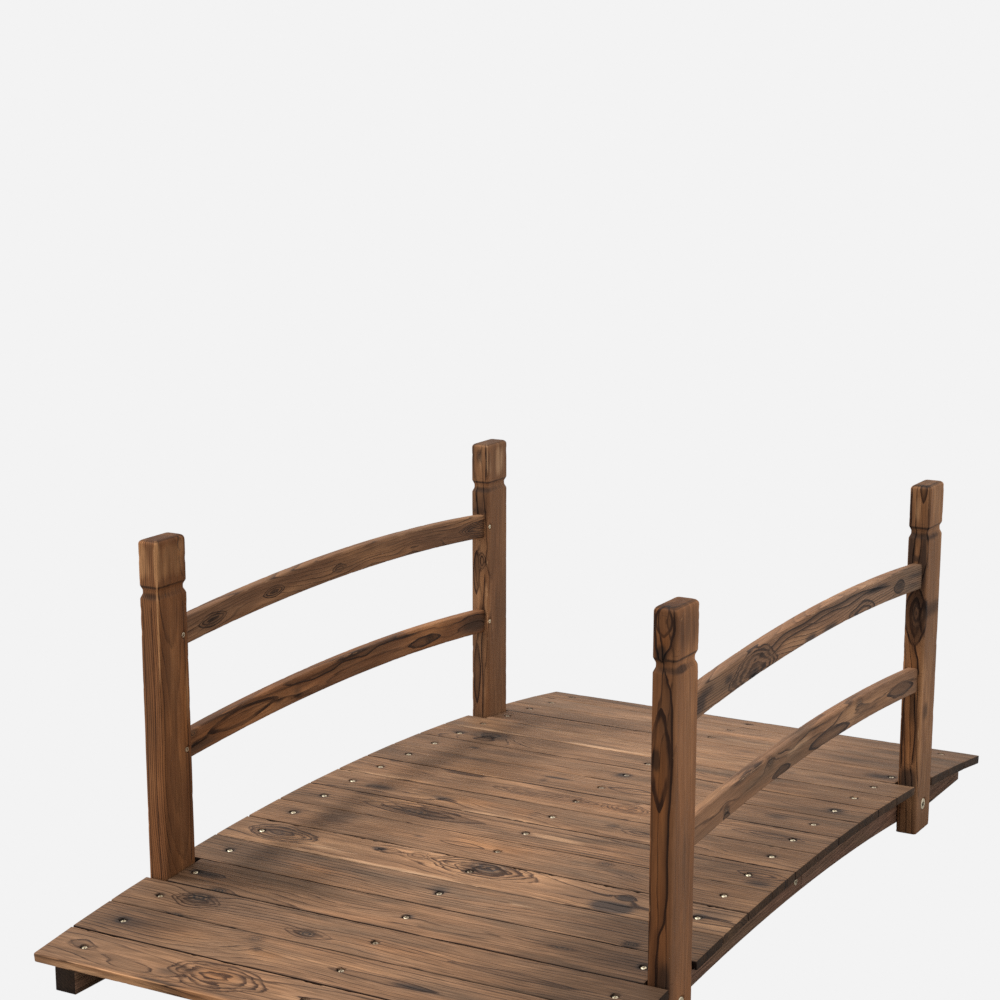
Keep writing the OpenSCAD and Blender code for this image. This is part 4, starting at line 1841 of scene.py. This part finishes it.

# How the posts and rails were cut and burnt. The posts' marks are placed by their height above the
# ground and the rails' marks by their distance beyond the bridge's middle and above the rail's own.
# The posts' and rails' face and side brightness is partly painted light.
RAILING_GRAIN: dict[str, Grain] = {
    "post_near_left": Grain(-90, 4, 4, 3.4, Burn.RED, shade=1.08, face_light_and_tone=1.36, side_light_and_tone=0.74,
                            clear=0.35, deep=9, face_burn=0.28, marks=(
        # The bare strips at -14.5 along the post's edge are a painted highlight, and the bare strip at 330 on its side
        # a painted highlight warmed by the redder patch there.
        *COVE_SHADE, RubbedAndHighlight(540, -14.5, 30, 1.8, 0.6), RubbedAndHighlight(440, -14.5, 70, 1.5, 0.9),
        RubbedAndHighlight(541, 2, 33, 22, 0.92), *aside(RubbedAndHighlight(541, 0, 33, 50, 0.95)),
        Vein(((60, 11), (200, 12), (330, 10), (486, 11)), 0.5, -1),
        Vein(((60, -6), (220, -3), (350, -6), (486, -4)), 0.5, 1),
        *aside(Eye(560, -19, 12, 6, 1, 0.4), Vein(((508, -25), (525, -20), (548, -15)), 0.8),
               Vein(((80, -23), (200, -25), (340, -24), (488, -22)), 0.5), ToastedAndSheen(330, -20, 90, 12),
               RubbedAndHighlight(330, -25, 50, 4, 0.9)))),
    "post_far_left": Grain(-40, 30, 8, 17.0, Burn.PLAIN, face_light_and_tone=1.12, side_light_and_tone=1.08, clear=0.25,
                           deep=12, face_burn=0.1, marks=(
        *COVE_SHADE, Knot(551, 1, 8, 4, 0.9), ToastedAndSheen(540, 0, 34, 12, 0.8), RubbedAndHighlight(538, 0, 26, 8, 0.75),
        Vein(((506, -12), (540, -13), (571, -11)), 1.6, -1), Smudge(540, 16, 40, 4, 0.6),
        Smudge(460, 0, 34, 18, 0.75), ToastedAndSheen(470, 0, 30, 12, 1.4), Eye(366, -4, 17, 10, 2, 0.2),
        Smudge(366, -3, 22, 15, 0.5), Eye(345, 7, 44, 8, 1, 0.5), RubbedAndHighlight(302, -12, 34, 3.5, 1.1),
        ToastedAndSheen(300, -10, 50, 7, 1.4), Eye(160, 6, 62, 9, 1, 0.6), Smudge(30, 0, 60, 20, 0.4),
        Smudge(270, -8, 16, 5, 0.7), Smudge(215, 6, 40, 10, 0.4),
        Vein(((80, -5), (150, -6), (200, -3), (262, -6), (345, -9)), 1.1, -1), RubbedAndHighlight(140, -10, 70, 3, 0.7),
        # On the side, the soft dark patch at 360 is painted shadow of the rails.
        *aside(ToastedAndSheen(300, 4, 500, 40, -0.7), Smudge(360, 4, 30, 22, 0.3), RubbedAndHighlight(541, 0, 33, 50, 0.74)),
        # The narrow dark bands at 455 and 271 are painted shadow in the gaps above the rails in their housings.
        Smudge(455, 0, 3, 11, 0.9), Smudge(271, 0, 3, 11, 0.9))),
    "post_near_right": Grain(-36, 34, 10, 12.0, Burn.RED, face_light_and_tone=0.96, side_light_and_tone=1.44, clear=0.25,
                             deep=12, face_burn=0.12, marks=(
        *COVE_SHADE, Eye(554, 1, 23, 13, 1, 0.25), Smudge(512, 4, 12, 7, 1.2),
        Vein(((500, 3), (508, 8), (525, 12), (548, 14), (571, 14)), 2.0, 1),
        Vein(((500, 4), (510, 0), (526, -9), (545, -13), (571, -12)), 2.0, -1), ToastedAndSheen(530, 0, 12, 8, 1.5),
        Eye(377, 3, 78, 17.5, 1, 0.25), Smudge(376, 9, 14, 5.5, 1.2), ToastedAndSheen(350, 3, 60, 10),
        Vein(((66, 4), (103, 4), (140, 1.5), (168, -7), (205, -10), (245, -9), (297, -10), (331, -12),
              (392, -13), (440, -12.5), (465, -10), (480, -5), (496, 0)), 1.8, 1),
        Smudge(30, 0, 80, 20, 0.6), Smudge(84, -8, 24, 8, 0.7), ToastedAndSheen(200, 4, 120, 12, 0.8),
        # On the side, the dark patch at 492 adds painted shade to the cove.
        # On the side, the greyer tone is partly the wood's and partly a painted sheen.
        *aside(ToastedAndSheen(300, 0, 500, 60, -1.0), Smudge(492, 16, 5, 14, 0.9)), *burnt_top(0.7),
        *aside(RubbedAndHighlight(562, 12, 2.4, 4, 0.7), RubbedAndHighlight(553, 3, 2.2, 5, 0.75), RubbedAndHighlight(546, 17, 2.2, 4, 0.75),
               RubbedAndHighlight(557, 21, 2.4, 3, 0.7), RubbedAndHighlight(528, -6, 20, 3, 0.6), Smudge(540, -8, 34, 30, 0.65),
               Smudge(540, 22, 30, 6, 0.5), RubbedAndHighlight(340, 20, 90, 5, 0.4)))),
    "post_far_right": Grain(-38, 32, 8, 10.5, Burn.WARM, face_light_and_tone=0.95, side_light_and_tone=1.2, clear=0.22,
                            deep=12, face_burn=0.2, marks=(
        *COVE_SHADE, Eye(576, -6, 36, 7, 1, 0.95), Vein(((500, 13), (540, 14), (571, 13)), 1.8, 1),
        RubbedAndHighlight(536, 2, 28, 9, 0.8), ToastedAndSheen(540, 2, 34, 14), Smudge(455, 10, 40, 5, 1.1),
        Smudge(455, -10, 40, 5), RubbedAndHighlight(455, 1, 34, 2.5, 0.7), ToastedAndSheen(455, 1, 40, 5),
        Knot(368, -3, 26, 11, 0.9), Eye(362, -1, 56, 21, 2, 0.35), ToastedAndSheen(360, 8, 60, 6, 1.2),
        ToastedAndSheen(290, -4, 34, 12, 1.4), Vein(((262, -9), (290, -8), (312, -3), (326, 4)), 1.8, 1),
        ToastedAndSheen(185, 2, 80, 14, 1.7), Smudge(215, -3, 32, 6, 0.6), RubbedAndHighlight(160, 6, 40, 4, 0.6),
        Vein(((112, -6), (170, -9), (240, -5)), 1.4, -1), Vein(((105, 12), (200, 12), (262, 9)), 1.6, 1),
        # On the side, the greyer tone is partly the wood's and partly a painted sheen.
        Smudge(92, 0, 18, 14), *aside(ToastedAndSheen(300, 0, 500, 60, -1.2)), *burnt_top(1.1),
        # The narrow dark bands at 455.5 and 271.5 are painted shadow in the gaps above the rails in their housings.
        Smudge(455.5, 0, 3.5, 11, 1.2), Smudge(271.5, 0, 3.5, 11, 1.2),
        *aside(Smudge(371, 0, 14, 60, 0.75), Smudge(203, 12, 17, 14, 0.8), Smudge(110, 4, 55, 16, 0.4),
               # The dark band at 488 on the side adds painted shade to the cove.
               Smudge(488, 8, 4, 26, 0.5)))),
    "rail_upper_left": Grain(-46, -24, 4, 6.0, Burn.WARM, shade=0.86, face_light_and_tone=1.1, clear=0.5, deep=8,
                             marks=(
        Eye(-362, -1, 40, 12, 3, 0.25), Smudge(-362, -1, 20, 6, 0.5), Eye(-207, -1, 32, 10, 3, 0.3),
        Smudge(-207, -1, 14, 5, 0.4), Lens(-280, 0, 90, 14, 2.0), Eye(-28, -4, 24, 7, 2, 0.4),
        Lens(60, -10, 60, 10, 2.0), Lens(190, -6, 40, 10, 2.5), Lens(260, -8, 50, 12, 2.5),
        Eye(424, -2, 90, 18, 6))),
    "rail_lower_left": Grain(-40, -26, 4, 16.0, Burn.RED, face_light_and_tone=1.12, clear=0.35, deep=8, marks=(
        Smudge(-405, -8, 54, 8, 0.75), Eye(-292, 2, 104, 15, 1, 0.2), Smudge(-200, -3, 13, 6, 0.8),
        ToastedAndSheen(-300, 0, 140, 14), Smudge(-150, -5, 13, 12, 0.6), Knot(-416, 14, 9, 5, 0.9),
        Vein(((-190, 17), (-155, 10), (-100, 5), (-60, 6), (-20, 12), (15, 10), (40, 8), (90, 16), (180,
              15)), 1.6, 1), Smudge(4, 12, 24, 9, 0.45), Eye(228, -4, 64, 10, 1, 0.75),
        Smudge(228, -3, 52, 6, 0.3), Knot(244, -4, 9, 6, 0.8), Smudge(400, -1, 62, 18, 0.85),
        Lens(390, -3, 50, 12, 1.6))),
    "rail_upper_right": Grain(-30, -14, 3, 2.8, Burn.PLAIN, shade=1.2, face_light_and_tone=1.36, clear=0.4, deep=8,
                              face_burn=0.3, painted_end_shade=(0.0, 0.14), marks=(
        ToastedAndSheen(300, 0, 240, 40, -1.4), Smudge(-232, -14, 14, 8, 0.9), Eye(-234, -10, 92, 33, 5, 0.2),
        Smudge(-410, -2, 18, 11, 0.9), Smudge(-385, 8, 20, 7, 0.5), Smudge(-318, 3, 12, 5, 0.7),
        Lens(-60, 8, 130, 10, 3.0), Lens(110, 8, 120, 8, 2.0),
        Vein(((-190, 6), (-130, 14), (-60, 12), (0, 15), (70, 12), (150, 14), (250, 8)), 1.3, -1),
        Vein(((-180, -4), (-120, 5), (-40, 5), (40, 7), (110, 3), (180, 9), (290, 5)), 1.0, -1),
        Smudge(-36, -15, 18, 5, 0.8), Smudge(40, -16, 24, 5, 0.8), Eye(168, -16, 60, 16, 2, 0.3),
        Smudge(230, 8, 42, 4, 0.8), Eye(327, -3, 28, 12, 1, 0.7), Smudge(327, -3, 18, 7, 0.5),
        Smudge(400, 6, 34, 4, 0.5), Smudge(396, -8, 30, 4, 0.4))),
    "rail_lower_right": Grain(-42, -24, 4, 18.0, Burn.PLAIN, shade=1.14, face_light_and_tone=1.14, clear=0.5,
                              deep=8, marks=(
        Knot(-315, -9, 7, 6, 0.9), Smudge(-315, -5, 12, 11, 0.3), Knot(-168, 13, 9, 6, 0.9),
        Smudge(-129, -14, 30, 5, 0.5), Eye(-129, -13, 38, 8, 1, 0.85),
        Vein(((-150, 16), (-120, 13), (-90, 8), (-60, 12), (-20, 17)), 0.8, 1), Smudge(-8, 8, 14, 9, 0.35),
        RubbedAndHighlight(-70, 5, 60, 10, 0.75), Eye(52, -11, 92, 14, 1, 0.8),
        Vein(((-30, -12), (0, -3), (60, 2), (110, 15)), 1.1, -1), Knot(170, 12, 12, 5, 0.8),
        Eye(350, -1, 68, 13, 1, 0.6), Smudge(350, -1, 52, 8, 0.45))),
}


@dataclass
class Railing:
    """Two posts on one side of the bridge and the two arched rails between them.

    Attributes:
        side: Side of the bridge.
        post_edge: Rounding of a post's upright edges.
        head_edge: Rounding of the edges round a post's top.
        foot_edge: Rounding of the edges round its foot.
        head_height: Height of the head above the middle of the cove.
        rail_depth: Depth of a rail.
        rail_edge: Rounding of a rail's long edges.
        play: Play over and under a rail in its housing.
        fit: Play of a rail on each side of its housing.
        housing_depth: Depth of a housing.
        screw: Radius of the head of a screw that holds a rail's end.
        setbacks: Distance of such a screw from the facing side of the near and of the far post.
        ages: How far such screws have rusted on the near and on the far post.
        screw_hole: Radius of the recess for such a screw, in radii of its head, and its depth.
        bolt: Radius of the head of a post's bolt.
        bolt_hole: The same for the bolt as for the screws.
        bolt_height: Height of that bolt above the ground.
        sunk: Depth of the heads' faces in their recesses.
        cove_reach: Half the height of the span round the cove where the mesh is finer.
        cell: Spacing of the mesh there and round the top.
        chips: Greatest depth of the chips along the edges of the posts and of the rails.
        rail_wear: How far the rails' edges are brushed bare, partly as a painted highlight along them.
    """

    # Seeds of the posts and rails, and what the left side and the far end add to them.
    POST_SEED = 200
    RAIL_SEED = 300
    LEFT_SEED = 40
    END_SEED = 7

    side: Side
    post_edge: float = 0.0045
    head_edge: float = 0.006
    foot_edge: float = 0.001
    head_height: float = 0.0745
    rail_depth: float = 0.040
    rail_edge: float = 0.0032
    play: float = 0.0015
    fit: float = 0.0003
    housing_depth: float = 0.022
    screw: float = 0.0044
    setbacks: tuple[float, float] = (0.0120, 0.0068)
    ages: tuple[float, float] = (0.5, 0.0)
    screw_hole: tuple[float, float] = (1.32, 0.0016)
    bolt: float = 0.0095
    bolt_hole: tuple[float, float] = (1.24, 0.0036)
    bolt_height: float = 0.043
    sunk: float = 0.0004
    cove_reach: float = 0.011
    cell: float = 0.001
    chips: tuple[float, float] = (0.0005, 0.0003)
    rail_wear: float = 0.6

    def rail_arc(self, node: str) -> tuple[float, float]:
        """Arc of a rail, from its box.

        Args:
            node: Node of the rail.

        Returns:
            Radius of its underside and height of its crown's top.
        """
        low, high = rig.box(node)
        sag = high.z - self.rail_depth - low.z
        return (high.x ** 2 + sag ** 2) / (2 * sag), high.z

    def housing(self, node: str, facing_x: float) -> tuple[float, float]:
        """Low and high end of the housing that takes a rail.

        Args:
            node: Node of the rail.
            facing_x: Distance of the posts' facing sides from the middle.

        Returns:
            The two heights.
        """
        radius, crown = self.rail_arc(node)
        top_radius = radius + self.rail_depth
        top = crown - top_radius + math.sqrt(top_radius ** 2 - facing_x ** 2)
        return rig.box(node)[0].z - self.play, top + self.play

    def build(self, woods: dict[str, Finish], steel: Finish) -> list[Piece]:
        """Builds the posts, rails and fixings of this side.

        Args:
            woods: Finishes of the posts and rails, by slot.
            steel: Finish of the screws and bolts.

        Returns:
            The pieces.
        """
        side = self.side.value
        rails = [f"rail_{level}_{side}" for level in ("lower", "upper")]
        pieces = []
        screws: list[Matrix] = []
        bolts: list[Matrix] = []
        nuts: list[Matrix] = []
        for facing, end in ((-1, "near"), (1, "far")):
            node = f"post_{end}_{side}"
            post, held, bolted = self.post(node, facing, rails, woods["post_wood"])
            pieces.append(post)
            screws.extend(held)
            bolts.append(bolted)
            nuts.append(through(bolted.translation, f"beam_{side}_{end}", -self.side.sign))
        pieces.extend(self.rail(node, woods["rail_wood"]) for node in rails)
        ages = [years for years in self.ages for _ in rails]
        pieces.append(scatter(f"rail_screws_{side}", WoodScrew(self.screw).head(), screws, steel,
                              "screw_metal", ages))
        pieces.append(scatter(f"post_bolts_{side}", SocketBolt(self.bolt).head(), bolts, steel,
                              "bolt_metal"))
        pieces.append(scatter(f"post_nuts_{side}", HexNut().shape(), nuts, steel, "bolt_metal"))
        return pieces

    def seed(self, number: int) -> int:
        """Seed of a board of this side, from the number that it would have on the right."""
        return number + self.LEFT_SEED * (self.side is Side.LEFT)

    def post(self, node: str, facing: int, rails: list[str],
             wood: Finish) -> tuple[Piece, list[Matrix], Matrix]:
        """Builds one post.

        Args:
            node: Node of the post.
            facing: Side of the board that faces the rails: 1 or -1 through it.
            rails: Nodes of the rails that it holds.
            wood: Finish of the post.

        Returns:
            The post, the places of the screws that hold its rails and the place of its bolt.
        """
        low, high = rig.box(node)
        middle = (low + high) / 2
        facing_x = low.x if facing > 0 else high.x
        spans = [self.housing(rail, abs(facing_x)) for rail in rails]
        cove = high.z - self.head_height - middle.z
        brow = high.z - self.head_edge - middle.z
        rail_low, rail_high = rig.box(rails[0])
        outward = self.side.sign
        outer, inner = (middle.y + way * outward * (high.y - low.y) / 2 for way in (1, -1))
        screw_x = facing_x + facing * self.setbacks[facing > 0]
        held = [sideways(screw_x, inner, (a + b) / 2, -outward) for a, b in spans]
        bolted = sideways(middle.x, outer, self.bolt_height, outward)
        holes = [(spot, self.screw, self.screw_hole) for spot in held] + [(bolted, self.bolt, self.bolt_hole)]
        board = PostBoard(
            (high.z - low.z, high.y - low.y, high.x - low.x), self.post_edge,
            RAILING_GRAIN[node].lowered(middle.z), self.seed(self.POST_SEED + self.END_SEED * facing),
            end_edges=(self.foot_edge, 0.0), cells=(0.0045, 0.0034, 0.0041),
            breaks=[z - middle.z for span in spans for z in span], crown=self.head_edge,
            fine=[(cove - self.cove_reach, cove + self.cove_reach, self.cell),
                  (brow, brow + self.head_edge, self.cell)],
            chips=self.chips[0],
            recesses=[Recess(spot, share * head, depth) for spot, head, (share, depth) in holes],
            housings=[(a - middle.z, b - middle.z) for a, b in spans],
            housing_width=rail_high.y - rail_low.y + 2 * self.fit,
            housing_depth=self.housing_depth, facing=facing, cove=cove)
        piece = board.build(wood, frame_matrix(Axis.Z.vector, Axis.Y.vector, middle), node, "post_wood")
        return piece, [raised(spot, -self.sunk) for spot in held], raised(bolted, -self.sunk)

    def rail(self, node: str, wood: Finish) -> Piece:
        """Builds one rail.

        Args:
            node: Node of the rail.
            wood: Finish of the rail.

        Returns:
            The rail.
        """
        radius, crown = self.rail_arc(node)
        low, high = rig.box(node)
        middle_radius = radius + self.rail_depth / 2
        length = 2 * middle_radius * math.asin(high.x / (radius + self.rail_depth))
        size = (length, self.rail_depth, high.y - low.y)
        board = BentBoard(size, self.rail_edge, RAILING_GRAIN[node],
                          self.seed(self.RAIL_SEED + round(crown / MM)), chips=self.chips[1],
                          edge_wear_and_highlight=self.rail_wear, cells=(0.0045, 0.0031, 0.0031), radius=middle_radius)
        middle = Vector((0.0, (low.y + high.y) / 2, crown - self.rail_depth / 2))
        return board.build(wood, frame_matrix(Axis.X.vector, Axis.Z.vector, middle), node, "rail_wood")


def through(spot: Vector, beam: str, out: int) -> Matrix:
    """Place on one side of a beam for a fixing that goes through it.

    Args:
        spot: A point on the fixing's line.
        beam: Node of the beam.
        out: Side of the beam: 1 is its left and -1 its right one.

    Returns:
        Matrix of that place, with Z out of the beam.
    """
    low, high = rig.box(beam)
    return sideways(spot.x, high.y if out > 0 else low.y, spot.z, out)


@dataclass
class Beam:
    """Half of a low arched beam, made from a copy of the plain solid, which is not changed.

    Attributes:
        name: Node of the beam.
        seed: Number that sets its grain.
        rounding: Rounding of the edges.
        cell: Spacing of the mesh along and up the beam.
        top: Height of the strip under the top that is brushed, and how bare that is.
        foot: Height of the darker strip along the bottom, and how dark it is.
        grain: How the beam was cut and burnt.
    """

    # Angle up to which two faces count as one, and angle and length past which an edge is rounded.
    FLAT = math.radians(0.4)
    CORNER = math.radians(50.0)
    SHORTEST = 0.006

    name: str
    seed: int
    rounding: float = 0.001
    cell: tuple[float, float] = (0.009, 0.006)
    top: tuple[float, float] = (0.003, 0.4)
    foot: tuple[float, float] = (0.012, 0.45)
    grain: Grain = field(default_factory=lambda: Grain(-70, -30, 8, 4.6, Burn.DARK))

    def build(self, nodes: dict[str, Piece], wood: Finish) -> Piece:
        """Builds the beam.

        Args:
            nodes: Plain solids of the frame, by name.
            wood: Finish of the beam.

        Returns:
            The finished beam.
        """
        plain = nodes[self.name]
        bm = bmesh.new()
        bm.from_mesh(plain.data)
        bmesh.ops.transform(bm, matrix=plain.matrix_world, verts=bm.verts)
        bmesh.ops.remove_doubles(bm, verts=bm.verts, dist=TINY)
        bmesh.ops.dissolve_limit(bm, angle_limit=self.FLAT, verts=bm.verts, edges=bm.edges)
        sharp = [edge for edge in bm.edges if len(edge.link_faces) == 2
                 and edge.calc_face_angle(0.0) > self.CORNER and edge.calc_length() > self.SHORTEST]
        bevel(bm, sharp, self.rounding, 2)
        low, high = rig.box(self.name)
        for axis, cell in zip((Axis.X, Axis.Z), self.cell):
            cut_evenly(bm, axis, low[axis.value], high[axis.value], cell)
        piece = add_object(self.name + "_board", bm)
        mesh = piece.data
        middle = (low + high) / 2
        points = read_points(mesh)
        local = np.stack([points[:, 0] - middle.x, points[:, 2] - middle.z, middle.y - points[:, 1]], axis=1)
        bare, burnt = (share * np.clip(1.0 - np.abs(points[:, 2] - level) / reach, 0.0, 1.0)
                       for level, (reach, share) in ((high.z, self.top), (low.z, self.foot)))
        write_grain(mesh, self.grain, local, self.seed, bare, burnt)
        mesh.materials.append(wood)
        return seat(piece, self.name, "beam_wood")


@dataclass
class Beams:
    """The six halves of the beams and the bolts through their laps.

    Attributes:
        lap_height: Height of the laps' bolts.
        lap: Radius of a lap bolt's head.
        lap_thread: Radius of that bolt.
        seed: Seed of the first half, which the others count on from.
    """

    lap_height: float = 0.053
    lap: float = 0.0052
    lap_thread: float = 0.003
    seed: int = 400

    def build(self, nodes: dict[str, Piece], wood: Finish, steel: Finish) -> list[Piece]:
        """Builds the beams and their bolts.

        Args:
            nodes: Plain solids of the frame, by name.
            wood: Finish of the beams.
            steel: Finish of the bolts.

        Returns:
            The pieces.
        """
        pieces = []
        bolts: list[Matrix] = []
        nuts: list[Matrix] = []
        lap = Vector((0.0, 0.0, self.lap_height))
        for row, line in enumerate(("left", "middle", "right")):
            pieces.extend(Beam(f"beam_{line}_{end}", self.seed + 10 * row + k).build(nodes, wood)
                          for k, end in enumerate(("near", "far")))
            out = -1 if line == Side.RIGHT.value else 1
            head, nut = (through(lap, f"beam_{line}_near", way) for way in (out, -out))
            bolts.append(raised(head, SocketBolt.HEIGHT * self.lap))
            nuts.append(nut)
        pieces.append(scatter("lap_bolts", SocketBolt(self.lap).head(), bolts, steel, "bolt_metal"))
        pieces.append(scatter("lap_nuts", HexNut(self.lap_thread).shape(), nuts, steel, "bolt_metal"))
        return pieces


@dataclass
class Studio:
    """The camera and the light of the picture: white surroundings and a soft light from above.

    Attributes:
        place: Place of the camera.
        turn: Its turn about X, Y and Z in degrees.
        lens: Focal length in millimetres, for a sensor of 36 mm.
        nearest: Distance from which on the camera sees.
        shift: Shift of the picture, to the right and up.
        white: Brightness of the surroundings.
        key: Strength of the light from above.
        key_width: Width of that light in degrees, as seen from the bridge.
        key_lean: Its lean towards the left and the near end, in degrees.
        floor_size: Side of the floor, which darkens what faces down and isn't seen itself.
    """

    place: tuple[float, float, float] = (-2.96528, -1.56241, 1.23294)
    turn: tuple[float, float, float] = (76.5455, -0.0306, -60.5012)
    lens: float = 82.4897
    nearest: float = 0.05
    shift: tuple[float, float] = (0.0, 0.1)
    white: float = 0.896
    key: float = 2.4
    key_width: float = 15.0
    key_lean: tuple[float, float] = (30.0, 3.0)
    floor_size: float = 12.0

    def camera(self) -> None:
        """Sets the camera."""
        data = bpy.data.cameras.new("camera")
        data.lens = self.lens
        data.shift_x, data.shift_y = self.shift
        data.clip_start = self.nearest
        eye = bpy.data.objects.new("camera", data)
        eye.location = self.place
        eye.rotation_euler = Euler([math.radians(angle) for angle in self.turn])
        bpy.context.scene.collection.objects.link(eye)
        bpy.context.scene.camera = eye

    def light(self) -> None:
        """Sets the surroundings and the light from above."""
        world = bpy.data.worlds.new("surroundings")
        world.use_nodes = True
        surroundings = world.node_tree.nodes["Background"].inputs
        surroundings["Color"].default_value = (1.0, 1.0, 1.0, 1.0)
        surroundings["Strength"].default_value = self.white
        scene = bpy.context.scene
        scene.world = world
        scene.view_settings.view_transform = "Standard"
        scene.cycles.use_denoising = False
        data = bpy.data.lights.new("key", "SUN")
        data.energy = self.key
        data.angle = math.radians(self.key_width)
        key = bpy.data.objects.new("key", data)
        left, near = (math.radians(angle) for angle in self.key_lean)
        aim = Vector((-math.tan(near), math.tan(left), 1.0))
        key.rotation_euler = aim.to_track_quat("Z", "Y").to_euler()
        scene.collection.objects.link(key)

    def floor(self) -> None:
        """Lays the floor, which the picture doesn't show."""
        bm = bmesh.new()
        bmesh.ops.create_grid(bm, x_segments=8, y_segments=8, size=self.floor_size / 2)
        ground = add_object("floor", bm)
        ground.data.materials.append(PaleFloor("pale_floor").material())
        ground.visible_camera = False
        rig.stage(ground)


def note_size(label: str) -> None:
    """Args:
        label: What the size was taken of.
    """
    low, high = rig.bounds()
    sizes = json.loads(SIZE_FILE.read_text()) if SIZE_FILE.exists() and label != "loaded" else {}
    sizes[label] = [[float(value) for value in corner] for corner in (low, high)]
    SIZE_FILE.write_text(json.dumps(sizes, indent=1))


def main() -> None:
    """Builds, dresses and lights the bridge."""
    logging.basicConfig(level=logging.INFO, format="%(name)s: %(message)s")
    note_size("loaded")
    plank = CharredFir("plank_fir", Axis.Y, contrast=1.25, coarse=1.05, torn=0.5)
    post = CharredFir("post_fir", Axis.Z, early=(0.200, 0.098, 0.048), warm=(0.320, 0.165, 0.078),
                      grey=(0.152, 0.084, 0.050), char=(0.043, 0.028, 0.022), late=(0.034, 0.016, 0.010),
                      worn=(0.500, 0.310, 0.175), bold=0.58, coarse=0.5, torn=0.8, end_grain_and_shade=0.45)
    rail = CharredFir("rail_fir", Axis.X, early=(0.195, 0.104, 0.058), warm=(0.290, 0.160, 0.084),
                      late=(0.034, 0.019, 0.013), char=(0.040, 0.032, 0.030), bold=0.54, coarse=0.7)
    beam = CharredFir("beam_fir", Axis.X, early=(0.135, 0.076, 0.052), shade=1.68, end_grain_and_shade=0.15)
    woods = {"plank_wood": plank.material(), "post_wood": post.material(),
             "rail_wood": rail.material(), "beam_wood": beam.material()}
    steel = PlatedSteel("plated_steel").material()
    pieces = Deck().build(woods["plank_wood"], steel)
    for side in Side:
        pieces.extend(Railing(side).build(woods, steel))
    pieces.extend(Beams().build(frame["nodes"], woods["beam_wood"], steel))
    for piece in pieces:
        LOG.info("%s: %d points", piece.name, len(piece.data.vertices))
    studio = Studio()
    studio.camera()
    studio.light()
    studio.floor()
    note_size("dressed")


if __name__ == "__main__":
    main()
